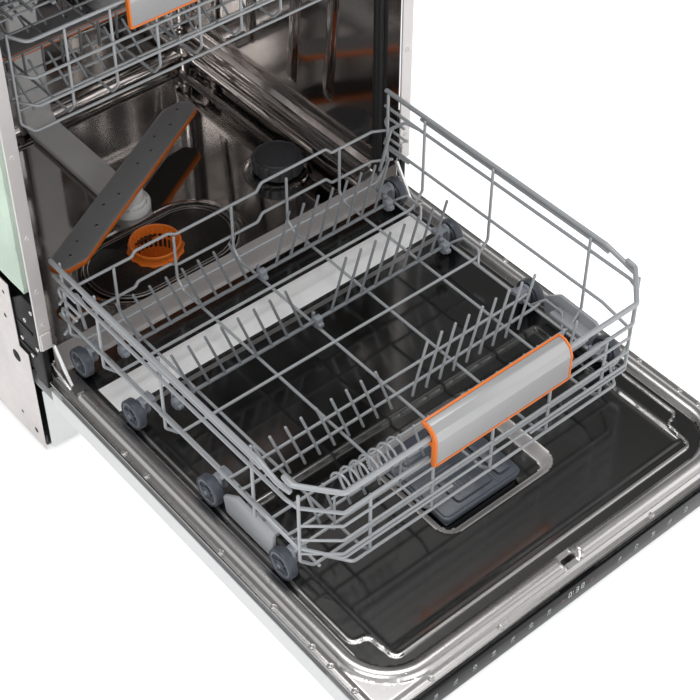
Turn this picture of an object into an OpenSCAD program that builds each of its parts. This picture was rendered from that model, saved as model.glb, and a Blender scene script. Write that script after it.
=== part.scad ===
// Built-in dishwasher, 600 mm class, door open and lower basket drawn out.
// +X is the user's right, -Y points out of the front, +Z is up. The feet stand on z = 0.
// Depths are drawn from the front flange of the tub (y = 0); placed() moves them to the shared origin.

/* [Cabinet] */
// Width over the front flange
body_w = 598; // [596:1:598]
// Depth from the front flange to the rear panel
body_d = 540; // [535:1:550]
// Height to the top frame, feet screwed in
body_h = 818; // [815:1:820]
// Height of the metal base sides
base_side_h = 290; // [250:5:300]
// Thickness of the casing sheet
casing_t = 1; // [0.8:0.1:1.2]

/* [Tub] */
// Inner width of the tub
tub_w = 560; // [558:1:562]
// Inner face of the tub's back wall
tub_back_y = 515; // [510:1:518]
// Upper face of the tub floor
tub_floor_z = 118; // [116:1:119]
// Lower face of the tub ceiling
tub_top_z = 796; // [790:1:800]
// Thickness of the tub sheet
tub_t = 1; // [0.8:0.1:1.2]

/* [Door] */
// Width of the door
door_w = 595; // [592:1:596]
// Reach of the open door in front of the flange
door_reach = 636; // [630:1:640]
// Length of the door's lower end behind the flange
door_tail = 66; // [60:1:66]
// Height of the underside of the open door
door_z = 128; // [127:1:129]
// Height of the door's running surface
door_top_z = 172.7; // [172.5:0.1:172.8]
// Height of the hinge pins
hinge_z = 180; // [178:1:182]

/* [Lower basket] */
// Half width over the rim rails
basket_x = 262; // [258:1:263]
// Front face of the basket, drawn out
basket_front_y = -480; // [-482:1:-478]
// Rear face of the basket, drawn out
basket_rear_y = 10; // [5:1:12]
// Height of the rim rails
rim_z = 345; // [340:1:350]
// Radius of a basket wheel
wheel_r = 20; // [19.9:0.1:20]
// Radius of a wheel's axle
axle_r = 3; // [2.8:0.1:3.2]
// Diameter of the basket wire
wire_d = 4; // [3.5:0.1:4.2]

/* [Upper basket] */
// Front face of the upper basket, pushed in
upper_front_y = 46; // [44:1:50]
// Height of its front rail
upper_rim_z = 621; // [618:1:624]
// Height of its floor wires
upper_floor_z = 490; // [486:1:494]

/* [Spray arms] */
// Depth of the spray arms' common axis
arm_y = 264; // [262:1:266]
// Reach of the lower arm from its axis
arm_reach = 200; // [190:1:202]
// Direction of the lower arm at rest
arm_turn = 30; // [0:1:45]

/* [Hidden] */

$fn = 32;
gap = 0.1;              // clearance between pieces that touch on the real machine
fit = 0.05;             // radial clearance of a shaft in its bore
run = 0.3;              // clearance under a wheel
origin_y = (door_reach - body_d) / 2;

flange_w = (body_w - tub_w) / 2;
tub_x = tub_w / 2;
body_x = body_w / 2;
door_x = door_w / 2;
ledge_x = 248;          // inner edge of the wheel ledges
ledge_y = 56;
sill_z = 166;           // underside of the sill's ledge
sill_back_y = 50;
floor_front_y = 80;

sump_x = -23;
sump_y = 165;
salt_x = 215;
salt_y = 193;
hub_r = 8;

pin_x = 282;            // inner end of the hinge pins
pin_r = 4;
pin_y = 14;
arm_x = 283;            // inner face of the hinge arms
arm_sheet_t = 3;

handle_x = 100;         // half width of both handles
wheel_x = 250;          // inner face of a wheel
wheel_w = 12;
wheel_z = door_top_z + run + wheel_r;
wheel_ys = [-20, -133, -286, -421];

floor_wire_z = 206;     // height of the basket's cross wires
post_x = basket_x - 3.5 - wire_d / 2 - gap;
hoop_ys = [-452, -372, -203, -75, -2];
length_xs = [-180, -90, 0, 90, 180];
tine_d = 3.6;
tine_pitch = 24;
tine_lean = 24;         // sideways lean of a tine's tip, away from the middle
tine_h = 78;
tine_rod_r = 2.5;
tine_z = 214;
rear_tine_y = -52;
front_tine_y = -165;
tine_xs = [for (i = [-8:8]) if (i != 0) i * tine_pitch];
clip_xs = [-215, 0, 215];

roller_r = 12;
roller_z = 560.4;
roller_ys = [120, 470];
upper_x = 250;          // half width of the upper basket
upper_rear_y = 488;
upper_hoop_ys = [60, 130, 200, 344, 410, 470];
arm_z = 155;
arm_t = 13;
arm_w = 48;
upper_arm_z = 452;
upper_arm_t = 11;
shelf_hinge_x = -239;
shelf_hinge_z = 604;

steel = [0.80, 0.80, 0.80];
zinc = [0.78, 0.74, 0.72];
light_grey = [0.80, 0.81, 0.80];
wire_grey = [0.56, 0.58, 0.59];
dark_grey = [0.22, 0.23, 0.25];
arm_grey = [0.42, 0.42, 0.42];
orange = [0.85, 0.38, 0.10];
black = [0.06, 0.06, 0.06];

// Moves a piece from flange depths to the shared origin, midway along the open machine.
module placed() { translate([0, origin_y, 0]) children(); }

// A piece and its mirror image on the other side of the machine.
module both_sides() {
    children();
    mirror([1, 0, 0]) children();
}

// A block between two opposite corners.
module block(low, high) { translate(low) cube(high - low); }

// Straight round bars along one axis or between two points.
module bar_x(x0, x1, y, z, r) { translate([x0, y, z]) rotate([0, 90, 0]) cylinder(r = r, h = x1 - x0); }
module bar_y(y0, y1, x, z, r) { translate([x, y1, z]) rotate([90, 0, 0]) cylinder(r = r, h = y1 - y0); }
module bar_z(z0, z1, x, y, r) { translate([x, y, z0]) cylinder(r = r, h = z1 - z0); }
module bar(a, b, r) {
    v = b - a;
    length = norm(v);
    translate(a) rotate([0, acos(v[2] / length), atan2(v[1], v[0])]) cylinder(r = r, h = length);
}

// A rectangle centred on the origin with round corners.
module rounded_rect(w, l, r) {
    square([w - 2 * r, l], center = true);
    square([w, l - 2 * r], center = true);
    for (x = [-1, 1], y = [-1, 1])
        translate([x * (w / 2 - r), y * (l / 2 - r)]) circle(r = r);
}

// A flat tube with a centre bore.
module ring(r_out, r_in, h) {
    difference() {
        cylinder(r = r_out, h = h);
        translate([0, 0, -1]) cylinder(r = r_in, h = h + 2);
    }
}

// ---------------------------------------------------------------- cabinet

foot_xs = [-250, 250];
foot_ys = [62, 505];
foot_hole_r = 5.5;

module base_tray() {
    color(dark_grey) placed() difference() {
        block([-body_x + 6, 45, 6], [body_x - 6, body_d - 3, 10]);
        for (x = foot_xs, y = foot_ys)
            translate([x, y, 0]) cylinder(r = foot_hole_r, h = 20);
    }
}

// Zinc-coated sheets beside the base, each with two fixing holes.
side_hole_r = 3;
side_hole_ys = [90, 490];
side_hole_z = 40;
module side_panels() {
    color(zinc) placed() both_sides() difference() {
        block([body_x - 2 * casing_t, 40, 6], [body_x - casing_t, body_d - 3, base_side_h]);
        for (y = side_hole_ys)
            translate([body_x - 5, y, side_hole_z]) rotate([0, 90, 0]) cylinder(r = side_hole_r, h = 10);
    }
}

module rear_panel() {
    color(zinc) placed()
        block([-body_x + 1, body_d - 2, 6], [body_x - 1, body_d, body_h - 6]);
}

// Top sheet with the two holes for the worktop screws near its front edge.
top_hole_x = 240;
top_hole_y = 20;
top_hole_r = 2.5;
module top_frame() {
    color(zinc) placed() difference() {
        block([-body_x + 8, 8, body_h - 3], [body_x - 8, body_d - 3, body_h]);
        for (x = [-top_hole_x, top_hole_x])
            translate([x, top_hole_y, body_h - 10]) cylinder(r = top_hole_r, h = 20);
    }
}

module plinth_plate() {
    color(light_grey) placed() block([-body_x + 9, 36, 8], [body_x - 9, 39, tub_floor_z - 3]);
}

// Threaded feet: a round pad and a stem that rises through the base tray.
module adjustable_feet() {
    color(dark_grey) placed() for (x = foot_xs, y = foot_ys) translate([x, y, 0]) {
        cylinder(r = 18, h = 5);
        cylinder(r = foot_hole_r - 0.5, h = 34);
    }
}

// ---------------------------------------------------------------- tub

// Side walls, and the pressed ledges that the lower basket's wheels run on.
module tub_sides() {
    color(steel) placed() both_sides() {
        translate([tub_x, 0, 0]) rotate([90, 0, 90]) linear_extrude(height = tub_t) polygon([
            [4, sill_z - 4], [sill_back_y, sill_z - 4], [floor_front_y - 2, tub_floor_z],
            [tub_back_y, tub_floor_z], [tub_back_y, tub_top_z], [4, tub_top_z]
        ]);
        block([ledge_x, ledge_y, door_top_z - 6], [tub_x - gap, tub_back_y - 8, door_top_z]);
    }
}

module tub_ceiling() {
    color(steel) placed()
        block([-tub_x - tub_t, 4, tub_top_z + gap], [tub_x + tub_t, tub_back_y, tub_top_z + tub_t + gap]);
}

module tub_back() {
    color(steel) placed()
        block([-tub_x - tub_t, tub_back_y + gap, tub_floor_z - tub_t],
              [tub_x + tub_t, tub_back_y + gap + tub_t, tub_top_z + tub_t]);
}

// Floor with the filter well's opening and the hole for the softener's neck.
sump_r = 50;
salt_neck_r = 30;
module tub_floor() {
    color(steel) placed() difference() {
        block([-tub_x - tub_t, floor_front_y, tub_floor_z - tub_t - gap],
              [tub_x + tub_t, tub_back_y, tub_floor_z - gap]);
        translate([sump_x, sump_y, 0]) cylinder(r = sump_r, h = 200);
        translate([salt_x, salt_y, 0]) cylinder(r = salt_neck_r + gap, h = 200);
    }
}

// Bent sheet between the tub floor and the front flange.
module door_sill() {
    color(steel) placed() translate([-tub_x + gap, 0, 0]) rotate([90, 0, 90])
        linear_extrude(height = tub_w - 2 * gap) polygon([
            [4, sill_z], [sill_back_y, sill_z], [floor_front_y - 2, tub_floor_z - 1],
            [floor_front_y - 1, tub_floor_z], [sill_back_y + 0.6, sill_z + 1.4], [4, sill_z + 1.4]
        ]);
}

// Four flat bars around the mouth of the tub.
module front_flange() {
    color(steel) placed() {
        both_sides() block([tub_x, 0, hinge_z + 20], [body_x, 3, body_h - 8]);
        block([-tub_x + gap, 0, tub_top_z], [tub_x - gap, 3, body_h - 8]);
        block([-tub_x + gap, 0, sill_z - 4], [tub_x - gap, 3, sill_z + 2]);
    }
}

// Rubber seal down both sides of the mouth and across its top.
gasket_y0 = 34;
gasket_y1 = 52;
gasket_t = 8;
module door_gasket() {
    color(black) placed() {
        both_sides() block([tub_x - gasket_t, gasket_y0, sill_z + 10],
                           [tub_x - gap, gasket_y1, tub_top_z - gap]);
        block([-tub_x + gasket_t + gap, gasket_y0, tub_top_z - gasket_t],
              [tub_x - gasket_t - gap, gasket_y1, tub_top_z - gap]);
    }
}

module insulation_mats() {
    color([0.72, 0.78, 0.70]) placed() {
        block([-body_x + 2, 30, base_side_h + 4], [-tub_x - tub_t - gap, 510, tub_top_z - 6]);
        block([tub_x + tub_t + gap, 270, base_side_h + 4], [body_x - 2, 510, tub_top_z - 6]);
    }
}

// ---------------------------------------------------------------- wash system

well_z = 58;
module sump_pot() {
    color(dark_grey) placed() translate([sump_x, sump_y, well_z]) {
        difference() {
            cylinder(r = sump_r + 6, h = tub_floor_z - tub_t - 2 * gap - well_z);
            translate([0, 0, 4]) cylinder(r = sump_r, h = 100);
        }
    }
}

// Circulation pump with its heater ring and the motor behind it.
module wash_pump() {
    color([0.85, 0.85, 0.83]) placed() {
        bar_y(235, 290, sump_x - 95, 62, 44);
        bar_y(290 + gap, 390, sump_x - 95, 62, 34);
        bar_x(sump_x - 60, sump_x + 40, 250, 78, 14);
    }
}

module drain_pump() {
    color(dark_grey) placed() {
        bar_x(sump_x + 62, sump_x + 82, sump_y - 20, 66, 26);
        bar_x(sump_x + 82 + gap, sump_x + 130, sump_y - 20, 66, 20);
    }
}

// Water softener below the floor, with the threaded neck that the salt cap closes.
neck_r_in = 24;
module softener_tank() {
    color([0.9, 0.9, 0.88]) placed() {
        difference() {
            union() {
                block([140, 130, 20], [275, 290, 100]);
                translate([salt_x, salt_y, 90]) cylinder(r = salt_neck_r, h = 34);
            }
            translate([salt_x, salt_y, 30]) cylinder(r = neck_r_in, h = 200);
        }
    }
}

module air_break() {
    color([0.88, 0.88, 0.86]) placed()
        block([tub_x + tub_t + gap, 60, base_side_h + 10], [body_x - 2, 262, 720]);
}

// Flat duct: along the floor from the hub, up the back wall and along the ceiling.
duct_x = 24;
module feed_duct() {
    color(light_grey) placed() {
        block([-duct_x, arm_y + 34, tub_floor_z], [duct_x, tub_back_y - 15, tub_floor_z + 14]);
        block([-duct_x, tub_back_y - 14.9, tub_floor_z], [duct_x, tub_back_y - gap, tub_top_z - 14]);
        block([-duct_x, arm_y - 24, tub_top_z - 13.9], [duct_x, tub_back_y - gap, tub_top_z - 2]);
        translate([0, arm_y, tub_top_z - 32]) cylinder(r = 6, h = 22);
    }
}

// Round base on the floor with the pin that the lower arm turns on.
module arm_hub() {
    color(light_grey) placed() translate([0, arm_y, tub_floor_z]) {
        cylinder(r = 31, h = 14);
        cylinder(r = 22, h = arm_z - tub_floor_z - 0.4);
        cylinder(r = hub_r, h = arm_z + arm_t - tub_floor_z + 3);
    }
}

// Flat sieve plate with round ends, set in the floor around the coarse filter.
sieve_w = 230;
sieve_d = 124;
module fine_filter() {
    color([0.25, 0.24, 0.23]) placed() difference() {
        translate([sump_x + 2, sump_y - 9, tub_floor_z]) linear_extrude(height = 2)
            rounded_rect(sieve_w, sieve_d, sieve_d / 2 - 1);
        translate([sump_x, sump_y, 0]) cylinder(r = 35, h = 200);
    }
}

// Cup with a wide rim and slotted wall; it lifts out of the filter well.
cup_r = 33;
rim_r = 39;
module coarse_filter() {
    color(orange) placed() translate([sump_x, sump_y, 0]) difference() {
        union() {
            translate([0, 0, well_z + 8]) cylinder(r = cup_r, h = 66);
            translate([0, 0, tub_floor_z + 4]) cylinder(r = rim_r, h = 12);
        }
        translate([0, 0, well_z + 12]) cylinder(r = cup_r - 2.5, h = 100);
        for (a = [0:30:150])
            rotate(a) translate([-50, -2, well_z + 18]) cube([100, 4, 34]);
    }
}

// Screw cap on the softener's neck.
module salt_cap() {
    color(dark_grey) placed() translate([salt_x, salt_y, tub_floor_z + 6.4]) difference() {
        cylinder(r = 38, h = 24);
        for (a = [0:30:330])
            rotate(a) translate([41, 0, -1]) cylinder(r = 6, h = 30);
    }
}

module ceiling_sprayer() {
    color(arm_grey) placed() translate([0, arm_y, 0]) {
        translate([0, 0, tub_top_z - 30]) ring(42, 6 + fit, 10);
        translate([0, 0, tub_top_z - 20]) ring(12, 6 + fit, 5.6);
    }
}

// Channels that the upper basket's rollers run in.
module upper_rails() {
    color(steel) placed() both_sides() {
        block([tub_x - 2.5, 12 + gasket_y1, roller_z - 17], [tub_x - gap, 505, roller_z + 17]);
        block([tub_x - 19, 12 + gasket_y1, roller_z - 15.3], [tub_x - 2.6, 505, roller_z - roller_r - run]);
        block([tub_x - 19, 12 + gasket_y1, roller_z + roller_r + run], [tub_x - 2.6, 505, roller_z + 15.3]);
    }
}

// ---------------------------------------------------------------- hinges

// Fixed brackets beside the tub, each with the bore that the hinge pin turns in.
module hinge_covers() {
    color(black) placed() both_sides() difference() {
        translate([287, 0, 0]) rotate([90, 0, 90]) linear_extrude(height = 9) polygon([
            [3.5, 200], [3.5, 150], [28, 150], [28, 164],
            [90, 164], [90, 222], [48, 262], [20, 286], [3.5, 286]
        ]);
        translate([280, pin_y, hinge_z]) rotate([0, 90, 0]) cylinder(r = pin_r + fit, h = 20);
    }
}

module door_springs() {
    color(steel) placed() both_sides() translate([286, 300, 60]) rotate([90, 0, 0]) ring(9, 6, 150);
}

// Steel arms bolted to the door; each carries its pin.
module hinge_arms() {
    color(steel) placed() both_sides() difference() {
        translate([arm_x, 0, 0]) rotate([90, 0, 90]) linear_extrude(height = arm_sheet_t) polygon([
            [-150, 158], [-40, 158], [6, 170], [24, 170], [24, 190], [6, 190], [-36, 171], [-150, 171]
        ]);
        translate([280, pin_y, hinge_z]) rotate([0, 90, 0]) cylinder(r = pin_r, h = 20);
    }
}

module hinge_pins() {
    color(steel) placed() both_sides()
        bar_x(pin_x, 295.5, pin_y, hinge_z, pin_r);
}

// ---------------------------------------------------------------- door

side_lip_z = 157;
panel_hole_r = 2;
panel_hole_x = 200;
panel_hole_ys = [-560, -120];

// Outer panel: a sheet with two side lips and the holes for a furniture front.
module door_outer() {
    color(light_grey) placed() difference() {
        union() {
            block([-door_x, -door_reach + 2, door_z], [door_x, -6, door_z + 1.2]);
            block([-door_x + 4, -7, door_z], [door_x - 4, door_tail, door_z + 1.2]);
            both_sides() block([door_x - 1.2, -door_reach + 40, door_z + 0.5], [door_x, -6, side_lip_z]);
        }
        for (x = [-panel_hole_x, panel_hole_x], y = panel_hole_ys)
            translate([x, y, door_z - 5]) cylinder(r = panel_hole_r, h = 10);
    }
}

// Inner panel: sheet with raised bead along its sides and top, and the dispenser's cut-out.
bead_x = 268;
bead_w = 16;
bead_h = 6;
bead_front_y = -600;
well_x0 = -66;
well_x1 = 50;
well_y0 = -480;
well_y1 = -362;
module door_inner() {
    color(steel) placed() difference() {
        union() {
            block([-door_x + 1, -door_reach + 6, door_top_z - 1.2], [door_x - 1, -4, door_top_z]);
            both_sides() block([bead_x, bead_front_y - bead_w, door_top_z - 0.5],
                               [bead_x + bead_w, -60, door_top_z + bead_h]);
            block([-bead_x - 1, bead_front_y - bead_w, door_top_z - 0.5],
                  [bead_x + 1, bead_front_y, door_top_z + bead_h]);
        }
        block([well_x0, well_y0, door_top_z - 5], [well_x1, well_y1, door_top_z + 5]);
        block([-12, bead_front_y - 12, door_top_z - 5], [12, bead_front_y - 4, door_top_z + 20]);
        both_sides() block([arm_x - 1, -50, door_top_z - 5], [arm_x + arm_sheet_t + 1, 0, door_top_z + 5]);
    }
}

module door_side_strips() {
    color(black) placed() both_sides()
        block([door_x - 4, -door_reach + 6, side_lip_z + gap], [door_x - 1, -30, door_top_z - 1.2 - gap]);
}

module door_bottom_seal() {
    color(black) placed() block([-262, -14, 150], [262, -5, door_top_z - 1.2 - gap]);
}

// Detergent dispenser let into the inner panel; the cup is open towards the tub.
cup_x0 = -40;
cup_x1 = 14;
cup_y0 = -472;
cup_y1 = -434;
module dispenser_body() {
    color([0.30, 0.32, 0.35]) placed() difference() {
        union() {
            block([well_x0 + gap, well_y0 + gap, 140], [well_x1 - gap, well_y1 - gap, door_top_z]);
            block([well_x0 - 3, well_y0 - 3, door_top_z + gap], [well_x1 + 3, well_y1 + 3, door_top_z + 3]);
            block([well_x0 + 1, well_y0 + 1, door_top_z - 1], [well_x1 - 1, well_y1 - 1, door_top_z + 1]);
        }
        block([cup_x0, cup_y0, 146], [cup_x1, cup_y1, 200]);
    }
}

// Sliding lid of the detergent cup, closed.
module dispenser_lid() {
    color([0.30, 0.32, 0.35]) placed()
        block([cup_x0 - 1, cup_y0 - 1, door_top_z + 3.4], [cup_x1 + 1, cup_y1 + 1, door_top_z + 6]);
}

// Hinged flap over the rinse-aid filler, with its round pin along its outer edge.
flap_x0 = 24;
flap_x1 = 44;
flap_t = 2.6;
module rinse_aid_cap() {
    flap_z = door_top_z + 3.4;
    color([0.24, 0.26, 0.29]) placed() {
        block([flap_x0, -472, flap_z], [flap_x1, -408, flap_z + flap_t]);
        translate([flap_x1, -408, flap_z + flap_t / 2]) rotate([90, 0, 0])
            cylinder(r = flap_t / 2, h = 64, $fn = 24);
    }
}

module control_strip() {
    color(black) placed() block([-door_x + 1, -door_reach, door_z + 8], [door_x - 1, -door_reach + 3, 168]);
}

// Latch block inside the door's upper end, with the slot that the tub's hook enters.
module door_latch() {
    color(dark_grey) placed() difference() {
        block([-24, -door_reach + 6, 146], [24, bead_front_y + 4, door_top_z - 1.2 - gap]);
        block([-10, bead_front_y - 11, 150], [10, bead_front_y - 5, 190]);
    }
}

screw_ys = [-585, -545, -514, -447, -350, -205, -159];
screw_xs = [-220, -120, 120, 220];
module door_screws() {
    color(steel) placed() {
        both_sides() for (y = screw_ys) bar_z(door_top_z + 0.02, door_top_z + 2, 291, y, 4);
        for (x = screw_xs) bar_z(door_top_z + 0.02, door_top_z + 2, x, -624, 4);
    }
}

// ---------------------------------------------------------------- lower basket

front_wire_zs = [307, 260, 212];
hoop_foot_x = 238;
rail_x = 232;           // outer floor rails, which the wheel brackets hang on

// One cross wire of the basket: two posts, two sloping feet and the floor bar between them.
module hoop(y, top_z) {
    r = wire_d / 2;
    knee_z = 226;
    both_sides() {
        bar_z(knee_z, top_z, post_x, y, r);
        bar([post_x - 0.6, y, knee_z - 2.4], [hoop_foot_x + 0.6, y, floor_wire_z + 1.4], r);
    }
    bar_x(-hoop_foot_x + 2.5, hoop_foot_x - 2.5, y, floor_wire_z, r);
}

module lower_basket_wires() {
    r = wire_d / 2;
    color(wire_grey) placed() {
        for (y = hoop_ys) hoop(y, rim_z + 4);
        for (x = length_xs) {
            bar_y(basket_front_y + 2.2 + wire_d, basket_rear_y - wire_d - gap,
                  x, floor_wire_z - wire_d - gap, r);
            bar_z(floor_wire_z - wire_d, 334, x, basket_front_y + wire_d + gap, r);
            bar_z(floor_wire_z - wire_d, 288, x, basket_rear_y - r, r);
        }
        both_sides() {
            bar_y(basket_front_y + 8, basket_rear_y, post_x + 4.6, 320, 2.5);
            bar_y(basket_front_y + 8, basket_rear_y, post_x + 4.3, 257, 2.2);
            bar_y(-456, 2, rail_x, floor_wire_z - wire_d - gap, r);
        }
        for (z = front_wire_zs) bar_x(-post_x, post_x, basket_front_y, z, r);
        for (z = [284, 233]) bar_x(-post_x + 4, post_x - 4, basket_rear_y + 2.1, z, r);
    }
}

// Thick rail round the sides and front.
module lower_basket_rim() {
    r = 3.4;
    color(wire_grey) placed() {
        both_sides() {
            bar_y(-450, basket_rear_y, basket_x, rim_z, r);
            bar([basket_x - 0.2, -455, rim_z - 0.4], [246, -477, 341], r);
        }
        bar_x(-240, 240, basket_front_y - 2, 340, r);
    }
}

// Curved grip over the middle of the front rail.
handle_y = basket_front_y - 8;
module lower_handle() {
    color([0.6, 0.6, 0.6]) placed() translate([-handle_x, 0, 0]) rotate([90, 0, 90])
        linear_extrude(height = 2 * handle_x) polygon([
            [handle_y, 306], [handle_y, 341], [handle_y + 3, 348], [handle_y + 9, 353],
            [handle_y + 15, 354], [handle_y + 15, 357], [handle_y + 8, 356.5],
            [handle_y - 1, 351], [handle_y - 5, 342], [handle_y - 5, 306]
        ]);
}

module lower_handle_trim() {
    color(orange) placed() translate([-handle_x - 4, 0, 0]) rotate([90, 0, 90])
        linear_extrude(height = 2 * handle_x + 8) polygon([
            [handle_y + 0.1, 302], [handle_y + 2, 302], [handle_y + 2, 341], [handle_y + 4, 346.5],
            [handle_y + 10, 350.5], [handle_y + 18, 351.5], [handle_y + 18, 353.9],
            [handle_y + 9, 352.9], [handle_y + 3.2, 348], [handle_y + 0.1, 341]
        ]);
}

// Brackets that hang on the outer floor rails, with the axle stubs that the wheels turn on.
module wheel_carriers() {
    foot_z = floor_wire_z - 1.7;
    color(dark_grey) placed() both_sides() for (y = wheel_ys) {
        block([wheel_x - 6, y - 9, wheel_z - 8], [wheel_x - 1, y + 9, wheel_z + 18]);
        block([rail_x - 5, y - 9, foot_z], [wheel_x - 5, y + 9, foot_z + 6.8]);
        bar_x(wheel_x - 2, wheel_x + wheel_w + 1.5, y, wheel_z, axle_r);
    }
}

module wheel_pair(y) {
    color(dark_grey) placed() both_sides() translate([wheel_x, y, wheel_z]) rotate([0, 90, 0])
        ring(wheel_r, axle_r + fit, wheel_w);
}
module wheel_pair_1() { wheel_pair(wheel_ys[0]); }
module wheel_pair_2() { wheel_pair(wheel_ys[1]); }
module wheel_pair_3() { wheel_pair(wheel_ys[2]); }
module wheel_pair_4() { wheel_pair(wheel_ys[3]); }

// Snap-in bearings for the two folding rows of tines.
module tine_clips() {
    color(dark_grey) placed() for (x = clip_xs, y = [rear_tine_y, front_tine_y]) difference() {
        block([x - 5, y - 6, floor_wire_z - 1.9], [x + 5, y + 6, tine_z + 6]);
        translate([x - 8, y, tine_z]) rotate([0, 90, 0]) cylinder(r = tine_rod_r + fit, h = 16);
    }
}

// A folding row: the rod that turns in the clips, and the tines standing on it.
module tine_row(y) {
    color(dark_grey) placed() {
        bar_x(-222, 222, y, tine_z, tine_rod_r);
        for (x = tine_xs)
            bar([x, y, tine_z + tine_rod_r + 0.7], [x + sign(x) * tine_lean, y, tine_z + tine_h], tine_d / 2);
    }
}
module rear_tines() { tine_row(rear_tine_y); }
module front_tines() { tine_row(front_tine_y); }

// ---------------------------------------------------------------- spray arms

// Flat hollow arm with blunt round ends and a centre bore.
module arm_plate(length, width, h, bore_r) {
    difference() {
        linear_extrude(height = h) rounded_rect(length, width, 14);
        translate([0, 0, -1]) cylinder(r = bore_r, h = h + 2);
    }
}

module lower_spray_arm() {
    color(arm_grey) placed() translate([0, arm_y, arm_z]) rotate(arm_turn)
        arm_plate(2 * arm_reach, arm_w, arm_t, hub_r + fit);
}

module upper_spray_arm() {
    color(arm_grey) placed() translate([0, arm_y, upper_arm_z])
        arm_plate(380, 46, upper_arm_t, 6 + fit);
}

// ---------------------------------------------------------------- upper basket

module upper_basket_wires() {
    r = 1.8;
    z0 = upper_floor_z;
    color(wire_grey) placed() {
        for (y = upper_hoop_ys) {
            both_sides() bar_z(z0 + 2, upper_rim_z + 10, upper_x - 6, y, r);
            bar_x(-upper_x + 8.2, upper_x - 8.2, y, z0, r);
        }
        for (x = length_xs) {
            bar_y(upper_front_y + 4, upper_rear_y - 6, x, z0 + 3.8, r);
            bar_z(z0 + 4, upper_rim_z - 4, x, upper_front_y + 2, r);
            bar_z(z0 + 4, upper_rim_z - 4, x, upper_rear_y - 4, r);
        }
        both_sides() {
            bar_y(upper_front_y + 4, upper_rear_y, upper_x - 2, upper_rim_z + 8, 2.1);
            bar_y(upper_front_y + 4, upper_rear_y, upper_x - 2.2, 530, r);
            for (y = roller_ys) {
                block([upper_x - 3.9, y - 10, roller_z - 20], [upper_x + 2, y + 10, roller_z + 20]);
                bar_x(upper_x + 1, upper_x + 21.5, y, roller_z, axle_r);
            }
        }
        for (z = [upper_rim_z, 560, 525]) bar_x(-upper_x + 4, upper_x - 4, upper_front_y - 1.7, z, r);
        for (z = [upper_rim_z, 550]) bar_x(-upper_x + 4, upper_x - 4, upper_rear_y - 0.3, z, r);
    }
}

module upper_handle() {
    color([0.6, 0.6, 0.6]) placed()
        block([-handle_x, upper_front_y - 8, 584], [handle_x, upper_front_y - 4, upper_rim_z + 4]);
}

// Folding shelf for cups along the left side: a hinge rod and a flat grid.
module cup_shelf() {
    color(light_grey) placed() {
        bar_y(110, 430, shelf_hinge_x, shelf_hinge_z, 2.4);
        for (y = [120:30:420]) bar_x(shelf_hinge_x + 2.6, -150, y, shelf_hinge_z, 1.5);
        bar_y(112, 428, -152, shelf_hinge_z + 3.2, 1.6);
    }
}

// Flat tube under the upper basket from the back wall to the arm's hub pin.
module upper_arm_feed() {
    color(dark_grey) placed() {
        block([-18, arm_y + 24, upper_arm_z + upper_arm_t + 3], [18, upper_rear_y + 8, upper_floor_z - 2]);
        translate([0, arm_y, upper_arm_z - 4]) cylinder(r = 6, h = 16 + upper_arm_t);
        translate([0, arm_y, upper_arm_z + upper_arm_t + 2]) cylinder(r = 23.9, h = 22);
    }
}

module upper_roller_pair(y) {
    color(black) placed() both_sides()
        translate([upper_x + 12.5, y, roller_z]) rotate([0, 90, 0]) ring(roller_r, axle_r + fit, 8);
}
module upper_rollers_front() { upper_roller_pair(roller_ys[0]); }
module upper_rollers_rear() { upper_roller_pair(roller_ys[1]); }

base_tray();
side_panels();
rear_panel();
top_frame();
plinth_plate();
adjustable_feet();
tub_sides();
tub_ceiling();
tub_back();
tub_floor();
door_sill();
front_flange();
door_gasket();
insulation_mats();
sump_pot();
wash_pump();
drain_pump();
softener_tank();
air_break();
feed_duct();
arm_hub();
fine_filter();
coarse_filter();
salt_cap();
upper_rails();
ceiling_sprayer();
hinge_covers();
door_springs();
hinge_arms();
hinge_pins();
door_outer();
door_inner();
door_side_strips();
door_bottom_seal();
dispenser_body();
dispenser_lid();
rinse_aid_cap();
control_strip();
door_latch();
door_screws();
lower_basket_wires();
lower_basket_rim();
lower_handle();
lower_handle_trim();
wheel_carriers();
tine_clips();
rear_tines();
front_tines();
wheel_pair_1();
wheel_pair_2();
wheel_pair_3();
wheel_pair_4();
lower_spray_arm();
upper_basket_wires();
upper_handle();
cup_shelf();
upper_arm_feed();
upper_spray_arm();
upper_rollers_front();
upper_rollers_rear();
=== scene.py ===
"""Built-in dishwasher with its door open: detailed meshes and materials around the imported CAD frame.

Sizes are in millimetres, with depths measured from the front flange of the tub, as the CAD model draws
them. at() turns such a place into the frame's metres.
"""
import math

import bmesh
import bpy
import numpy as np
from mathutils import Matrix, Vector


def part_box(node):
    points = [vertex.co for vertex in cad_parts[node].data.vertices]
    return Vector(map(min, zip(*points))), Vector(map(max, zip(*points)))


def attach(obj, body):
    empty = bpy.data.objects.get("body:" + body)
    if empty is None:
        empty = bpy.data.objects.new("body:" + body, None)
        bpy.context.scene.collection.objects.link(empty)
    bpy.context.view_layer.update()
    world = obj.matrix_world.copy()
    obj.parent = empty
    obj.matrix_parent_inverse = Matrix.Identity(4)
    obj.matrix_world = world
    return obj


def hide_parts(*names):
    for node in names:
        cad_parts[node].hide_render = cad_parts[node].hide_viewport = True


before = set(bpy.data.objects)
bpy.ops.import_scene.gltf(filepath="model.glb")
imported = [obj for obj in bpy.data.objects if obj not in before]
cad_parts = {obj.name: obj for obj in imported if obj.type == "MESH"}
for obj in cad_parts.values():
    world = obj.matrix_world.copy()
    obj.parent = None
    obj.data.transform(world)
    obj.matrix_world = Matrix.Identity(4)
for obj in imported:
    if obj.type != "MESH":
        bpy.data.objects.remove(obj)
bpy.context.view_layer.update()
MM = 0.001
FLANGE_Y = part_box("front_flange")[0].y


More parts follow.
